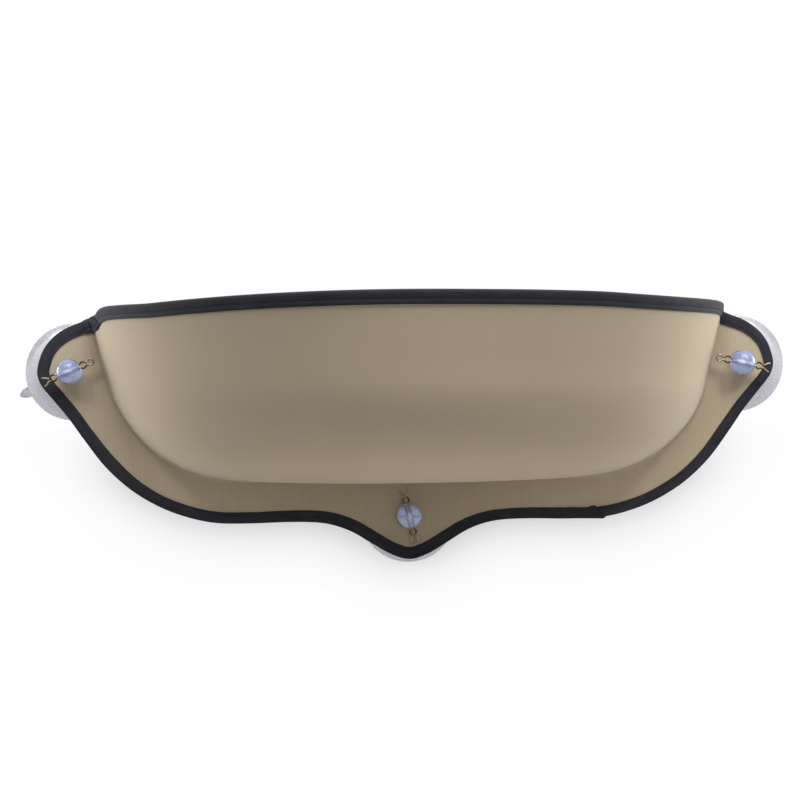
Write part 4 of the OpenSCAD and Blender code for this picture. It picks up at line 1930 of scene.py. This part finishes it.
@dataclass(frozen=True)
class LyingPad:
    """The lift-out pad: a half disc with a fleece top over a cloth base.

    Attributes:
        floor_z: Height of its underside.
        height: Height of its crown.
        side_gap: Space between its side and the lining.
        back_y: Level of its back edge.
        corner: Radius of its two back corners, in plan.
        draw_in: How far the back edge pulls in between the corners.
        start: How much smaller it is before it is blown up.
        cap: How far the swelling may move a point.
        voxel: Size of a face of the pad as it is blown up.
        seam_half: Half of the height of the band that the seam holds.
        clear: Least space to the bowl's lining, and to the back panel.
        crown: How far the swelling may rise over the height.
        piping: Radius of the piping.
        piping_out: How far the piping's middle lies outside of the seam.
        low_layers: Rings up to the seam, as height and how far they are drawn in, as
            shares of the height and of half the depth.
        top_layers: Rings above the seam.
    """

    floor_z: float = -96.8 * MM
    height: float = 34 * MM
    side_gap: float = 8 * MM
    back_y: float = -25.5 * MM
    corner: float = 36 * MM
    draw_in: float = 2 * MM
    start: float = 3.5 * MM
    cap: float = 6 * MM
    voxel: float = 6 * MM
    seam_half: float = 5 * MM
    clear: Pair = (4 * MM, 2 * MM)
    crown: float = 4 * MM
    piping: float = 1.6 * MM
    piping_out: float = 0.8 * MM
    low_layers: Table = ((0, 0.16), (0.1, 0.07), (0.22, 0.03), (0.36, 0.01), (0.5, 0))
    top_layers: Table = ((0.63, 0.015), (0.77, 0.06), (0.88, 0.15), (0.96, 0.32), (0.99, 0.6))

    def lining_radius(self, height: Array | float) -> Array | float:
        """Gives the radius of the bowl's lining at heights over its floor."""
        inner = MOULDING.corner_r - MOULDING.depth
        return MOULDING.corner_mid + np.sqrt(np.maximum(inner**2 - (inner - height) ** 2, 0))

    def radius(self, height: float) -> float:
        """Gives the plan's radius at a height over the bowl's floor."""
        return float(self.lining_radius(height)) - self.side_gap

    @property
    def back(self) -> float:
        """Level of the back edge against the bowl's axis, negative on the room's side."""
        return self.back_y - MOULDING.axis_y

    @property
    def seam_z(self) -> float:
        """Height of the seam round the pad."""
        return self.floor_z + self.height * 0.5

    @property
    def half_depth(self) -> float:
        """Half of the pad's depth at its seam."""
        return (self.radius(self.height / 2) + self.back) / 2

    def plan(self, radius: float, back: float, corner: float) -> Array:
        """Gives the pad's plan.

        Args:
            radius: Radius of its round front.
            back: Level of its back edge against the bowl's axis.
            corner: Radius of its two back corners.

        Returns:
            Points from the left back corner round the front to the back edge.
        """
        x = math.sqrt((radius - corner) ** 2 - (back - corner) ** 2)
        y = back - corner
        turn = math.atan2(y, x)
        arc = np.linspace(-math.pi - turn, turn, 49)
        front = np.stack([radius * np.cos(arc), radius * np.sin(arc)], axis=1)
        bend = np.linspace(turn, HALF_PI, 9)[1:]
        right = np.stack([x + corner * np.cos(bend), y + corner * np.sin(bend)], axis=1)
        share = 1 - np.arange(1, 18) / 18
        edge = np.stack([x * (2 * share - 1), back - self.draw_in * np.sin(math.pi * share)],
                        axis=1)
        return np.concatenate([front, right, edge, right[::-1] * [-1, 1]])

    def ring(self, share: float, inset: float, shrink: float) -> Array:
        """Gives one ring of the pad's surface.

        Args:
            share: Its height as a share of the pad's height.
            inset: How far it is drawn in, as a share of half the depth.
            shrink: How far it is moved inwards.

        Returns:
            The ring's points.
        """
        height = share * self.height
        inward = inset * self.half_depth + shrink
        if share > 0.5:
            radius = self.radius(self.height / 2) - inward
        else:
            radius = self.radius(height) - shrink
        corner = self.corner * (1 - inward / self.half_depth / 2)
        plan = self.plan(radius, self.back - inward, corner)
        z = self.floor_z + shrink * 0.5 + height * (self.height - 1.5 * shrink) / self.height
        return np.stack([plan[:, 0], MOULDING.axis_y + plan[:, 1], np.full(len(plan), z)], axis=1)

    def body(self) -> Piece:
        """Makes the pad before it is blown up.

        Returns:
            The closed pad.
        """
        layers = self.low_layers + self.top_layers
        closed = wrap(np.array([self.ring(share, inset, self.start) for share, inset in layers]))
        middle = (0, MOULDING.axis_y + self.back - self.half_depth)
        bottom, crown = (np.tile([*middle, closed[end, 0, 2]], (1, closed.shape[1], 1))
                         for end in (0, -1))
        pad = lay_grid("fleece_pad", np.concatenate([bottom, closed, crown]))
        close_solid(pad)
        return pad

    def swell(self, pad: Piece) -> None:
        """Blows the pad up as cloth held along its seam, and keeps each point near its place.

        Args:
            pad: The closed pad.
        """
        pressure, mass, quality, steps = 4, 0.3, 6, 20
        focus(pad)
        pad.data.remesh_voxel_size = self.voxel
        bpy.ops.object.voxel_remesh()
        before = coordinates(pad)
        at_seam = np.abs(before[:, 2] - self.seam_z) < self.seam_half
        seam = pad.vertex_groups.new(name="seam")
        seam.add([int(place) for place in np.flatnonzero(at_seam)], 1.0, "REPLACE")
        cloth = pad.modifiers.new("stuffing", "CLOTH")
        cloth.settings.vertex_group_mass = "seam"
        cloth.settings.use_pressure = True
        cloth.settings.uniform_pressure_force = pressure
        cloth.settings.effector_weights.gravity = 0
        cloth.settings.mass = mass
        cloth.settings.quality = quality
        scene = bpy.context.scene
        for step in range(1, steps + 1):
            scene.frame_set(step)
        apply_all(pad)
        scene.frame_set(1)
        move = coordinates(pad) - before
        far = np.linalg.norm(move, axis=1, keepdims=True)
        lay_vertices(pad, before + move * np.minimum(1, self.cap / np.maximum(far, 1e-9)))

    def keep_in_place(self, pad: Piece) -> None:
        """Keeps the pad off the bowl's floor, its wall and the back panel.

        Args:
            pad: The pad.
        """
        places = coordinates(pad)
        height = np.clip(places[:, 2] - self.floor_z, 0, None)
        limit = self.lining_radius(height) - self.clear[0]
        offset = places[:, :2] - [0, MOULDING.axis_y]
        radius = np.linalg.norm(offset, axis=1)
        offset *= np.minimum(1, limit / np.maximum(radius, 1e-9))[:, None]
        places[:, :2] = offset + [0, MOULDING.axis_y]
        places[:, 1] = np.minimum(places[:, 1], PANEL.lining_y - self.clear[1])
        places[:, 2] = np.clip(places[:, 2], self.floor_z, self.floor_z + self.height + self.crown)
        lay_vertices(pad, places)

    def build(self, fleece: Material, base: Material, piping: Material) -> None:
        """Makes and dresses the pad and the piping on its seam.

        Args:
            fleece: Finish of the top.
            base: Finish of the underside.
            piping: Finish of the piping.
        """
        pad = self.body()
        self.swell(pad)
        self.keep_in_place(pad)
        rounding = pad.modifiers.new("rounding", "SUBSURF")
        rounding.levels = rounding.render_levels = 1
        apply_all(pad)
        self.keep_in_place(pad)
        dress(pad, fleece, base)
        below = (read(pad.data.polygons, "center", 3)[:, 2] < self.seam_z).astype(int)
        pad.data.polygons.foreach_set("material_index", below)
        hang_cloth(pad)
        smooth(pad, 60)
        hand_over(pad, "pad", "fleece", "pad_top_fleece", "pad_base_cloth", "pad_filling")
        self.build_piping(piping)

    def build_piping(self, material: Material) -> None:
        """Makes the corded piping on the pad's seam.

        Args:
            material: Its finish.
        """
        sides = 10
        ring = self.ring(0.5, 0, self.start - self.piping_out)[:, :2]
        ring = np.concatenate([ring, ring[:1]])
        tangent = np.gradient(ring, axis=0)
        tangent[0] = tangent[-1] = ring[1] - ring[-2]
        tangent = unit(tangent)
        outward = np.stack([tangent[:, 1], -tangent[:, 0]], axis=1)
        angle = np.linspace(0, FULL_TURN, sides + 1)[:-1]
        across = ring[:, None] + outward[:, None] * self.piping * np.cos(angle)[None, :, None]
        height = np.broadcast_to(self.seam_z + self.piping * np.sin(angle)[None, :],
                                 across.shape[:2])
        rings = np.concatenate([across, height[..., None]], axis=2)
        steps = np.linspace(0, FULL_TURN * self.piping, sides + 1)
        uv = np.stack(np.broadcast_arrays(measure(ring)[:, None], steps[None, :]), axis=2)
        cord = lay_grid("pad_piping", wrap(rings), uv)
        close_solid(cord)
        smooth(cord, 60)
        dress(cord, material)
        hand_over(cord, "pad", "tan_cloth")


# ---- studio


@dataclass(frozen=True)
class SoftBox:
    """A large soft lamp that looks at the perch.

    Attributes:
        name: The lamp's name.
        place: Where it stands.
        target: What it looks at.
        width: Its width.
        height: Its height.
        power: Its power, in watts.
    """

    name: str
    place: Point
    target: Point
    width: float
    height: float
    power: float

    def build(self) -> None:
        """Adds the lamp."""
        lamp = add_new(self.name, bpy.ops.object.light_add, type="AREA", location=self.place)
        lamp.data.shape = "RECTANGLE"
        lamp.data.size = self.width
        lamp.data.size_y = self.height
        lamp.data.energy = self.power
        lamp.visible_transmission = False
        way = Vector(self.target) - Vector(self.place)
        lamp.rotation_euler = way.to_track_quat("-Z", "Y").to_euler()


@dataclass(frozen=True)
class Studio:
    """The pale floor, the plain light and the camera of the photograph.

    Attributes:
        camera_place: Where the camera stands.
        yaw: How far it looks to the right, in degrees.
        roll: How far it is turned round its own axis, in degrees.
        lens: Its focal length, in millimetres on a 36 mm sensor.
        floor_z: Height of the floor.
        floor_y: Level of the middle of the floor's pale patch.
        patch_reach: Distances from there at which the patch starts to darken and ends.
        tones: Tone of the patch, and of the floor round it.
        ambient: Light from all around.
        shadow: How dark the shadow on the pane is where it is darkest.
        shadow_reach: How far from the perch the shadow on the pane reaches.
        shadow_top: Height below which the pane keeps a shadow.
        shadow_over: Over what height the shadow comes up.
        pane_y: Level of the pane, just behind the glass.
    """

    camera_place: Point = (-51.5 * MM, -1.726, -30.5 * MM)
    yaw: float = -1.5
    roll: float = -0.8
    lens: float = 82.1
    floor_z: float = -184.5 * MM
    floor_y: float = 0.04
    patch_reach: Pair = (0.27, 0.5)
    tones: Pair = (0.74, 0.1)
    ambient: float = 0.03
    shadow: float = 0.75
    shadow_reach: float = 70 * MM
    shadow_top: float = -50 * MM
    shadow_over: float = 60 * MM
    pane_y: float = 1.5 * MM

    def build_camera(self) -> None:
        """Adds the camera at the photograph's viewing angle."""
        camera = add_new("camera", bpy.ops.object.camera_add, location=self.camera_place)
        turn = (Matrix.Rotation(math.radians(self.yaw), 4, "Z")
                @ Matrix.Rotation(math.radians(90), 4, "X")
                @ Matrix.Rotation(math.radians(self.roll), 4, "Z"))
        camera.rotation_euler = turn.to_euler()
        camera.data.lens = self.lens
        camera.data.sensor_width = 36
        camera.data.clip_end = 30
        camera.data.clip_start = 0.01
        bpy.context.scene.camera = camera

    def build_floor(self) -> None:
        """Adds the pale floor below the picture, which lights the bowl from underneath."""
        floor = add_new("floor", bpy.ops.mesh.primitive_grid_add, x_subdivisions=8,
                        y_subdivisions=8, size=8, location=(0, 0, self.floor_z))
        settle(floor)
        bench = NodeBench("pale studio floor")
        far = bench.add("VectorMath", {"operation": "DISTANCE"}, in_0=bench.place(),
                        in_1=(0.0, self.floor_y, 0.0)).outputs["Value"]
        away = bench.ramp(far, self.patch_reach)
        paper = bench.blend(away, *((tone, tone, tone, 1) for tone in self.tones))
        dress(floor, bench.finish(bench.add("BsdfDiffuse", Color=paper)))
        floor.visible_camera = floor.visible_shadow = False

    def build_pane(self) -> None:
        """Adds the white behind the glass with its soft shadow, clear from behind."""
        pane = add_new("pane", bpy.ops.mesh.primitive_grid_add, x_subdivisions=8,
                       y_subdivisions=8, size=3, location=(0, self.pane_y, 0),
                       rotation=(HALF_PI, 0, 0))
        settle(pane)
        bench = NodeBench("white behind the glass")
        near = bench.add("AmbientOcclusion", {"samples": 16},
                         Distance=self.shadow_reach).outputs["AO"]
        height = bench.add("SeparateXYZ", Vector=bench.place()).outputs[2]
        low = bench.ramp(height, (self.shadow_top, self.shadow_top - self.shadow_over))
        dark = bench.sum("MULTIPLY", bench.sum("SUBTRACT", 1.0, near), low)
        dark = bench.sum("MULTIPLY", dark, self.shadow)
        white = bench.add("Emission", Color=(1, 1, 1, 1),
                          Strength=bench.sum("SUBTRACT", 1.0, dark))
        behind = bench.add("NewGeometry").outputs["Backfacing"]
        dress(pane, bench.finish(bench.add(
            "MixShader", in_0=behind, in_1=white.outputs[0],
            in_2=bench.add("BsdfTransparent").outputs[0])))
        pane.visible_diffuse = pane.visible_glossy = pane.visible_transmission = False
        pane.visible_shadow = False

    def build_world(self) -> None:
        """Sets the plain light from all around, seen as white."""
        bench = NodeBench("studio", world=True)
        bpy.context.scene.world = bench.made
        rays = bench.add("LightPath").outputs
        seen = rays["Is Camera Ray"]
        for other in ("Is Glossy Ray", "Is Transmission Ray"):
            seen = bench.sum("MAXIMUM", seen, rays[other])
        sky = bench.add("Background", Color=(1, 1, 1, 1),
                        Strength=bench.ramp(seen, (0.0, 1.0), (self.ambient, 1.0)))
        bench.add("OutputWorld", Surface=sky.outputs[0])

    def build(self) -> None:
        """Sets up the studio."""
        bpy.context.scene.view_settings.view_transform = "Standard"
        self.build_camera()
        self.build_floor()
        self.build_pane()
        self.build_world()
        middle = (0.0, -0.12, -0.03)
        boxes = (
            SoftBox("left soft box", (-1.4, 0.6, 0.08), middle, 0.8, 0.8, 25),
            SoftBox("right soft box", (1.4, 0.6, 0.08), middle, 0.8, 0.8, 23.5),
            SoftBox("upper left box", (-1.2, -1.15, 1.45), middle, 0.4, 0.4, 12),
            SoftBox("upper right box", (1.2, -1.15, 1.45), middle, 0.4, 0.4, 17),
            SoftBox("top soft box", (0.15, -0.85, 1.97), middle, 1.8, 1.2, 60),
            SoftBox("front soft box", (0.3, -1.75, 0.05), (0.1, -0.1, -0.1), 0.7, 0.7, 4.6),
        )
        for box in boxes:
            box.build()
        log.info("studio: %d lamps", len(boxes))


# ---- main


def main() -> None:
    """Builds the perch piece by piece, and the studio round it."""
    logging.basicConfig(level=logging.INFO, format="%(name)s: %(message)s")
    Studio().build()
    cloths = Cloths()
    MouldedSheet(cloths).build()
    BackBoard(cloths).build()
    stitches = StitchRun(cloths.thread)
    EdgeTape(cloths, stitches).build()
    RimTape(cloths, stitches).build()
    # pale is the frosted colour of the cross hole, and also the colour of the painted highlight
    # along each knob's cross hole
    pale, dull = ink(240, 242, 252), ink(204, 202, 206)
    vinyl = ClearVinyl("clear lilac vinyl", ink(228, 228, 234), ink(170, 182, 232),
                       pale).material()
    tab = ClearVinyl("dull vinyl tab", dull, dull, dull, clear=0.3).material()
    bore = ClearVinyl("frosted cross hole", pale, pale, pale, clear=0.1, clear_knob=0.1).material()
    # The third colour of the wire is its painted shade in the eye beside each knob
    wire = SpringWire("spring wire", ink(176, 164, 134), ink(104, 92, 68),
                      ink(70, 56, 42)).material()
    cups = (
        SuctionCup("left", -PANEL.cup_x, 0.0, 203, 203),
        SuctionCup("right", PANEL.cup_x, 0.0, 168, 348),
        SuctionCup("lower", 0.0, PANEL.lower_cup_z, 102, 102),
    )
    for cup in cups:
        cup.build_cup((vinyl, tab, bore))
        cup.build_clip(wire)
    fleece = Pile("cream fleece", ink(226, 218, 200), ink(186, 175, 152)).material()
    LyingPad().build(fleece, cloths.rear, cloths.bowl)
    clear_selection()


if __name__ == "__main__":
    main()
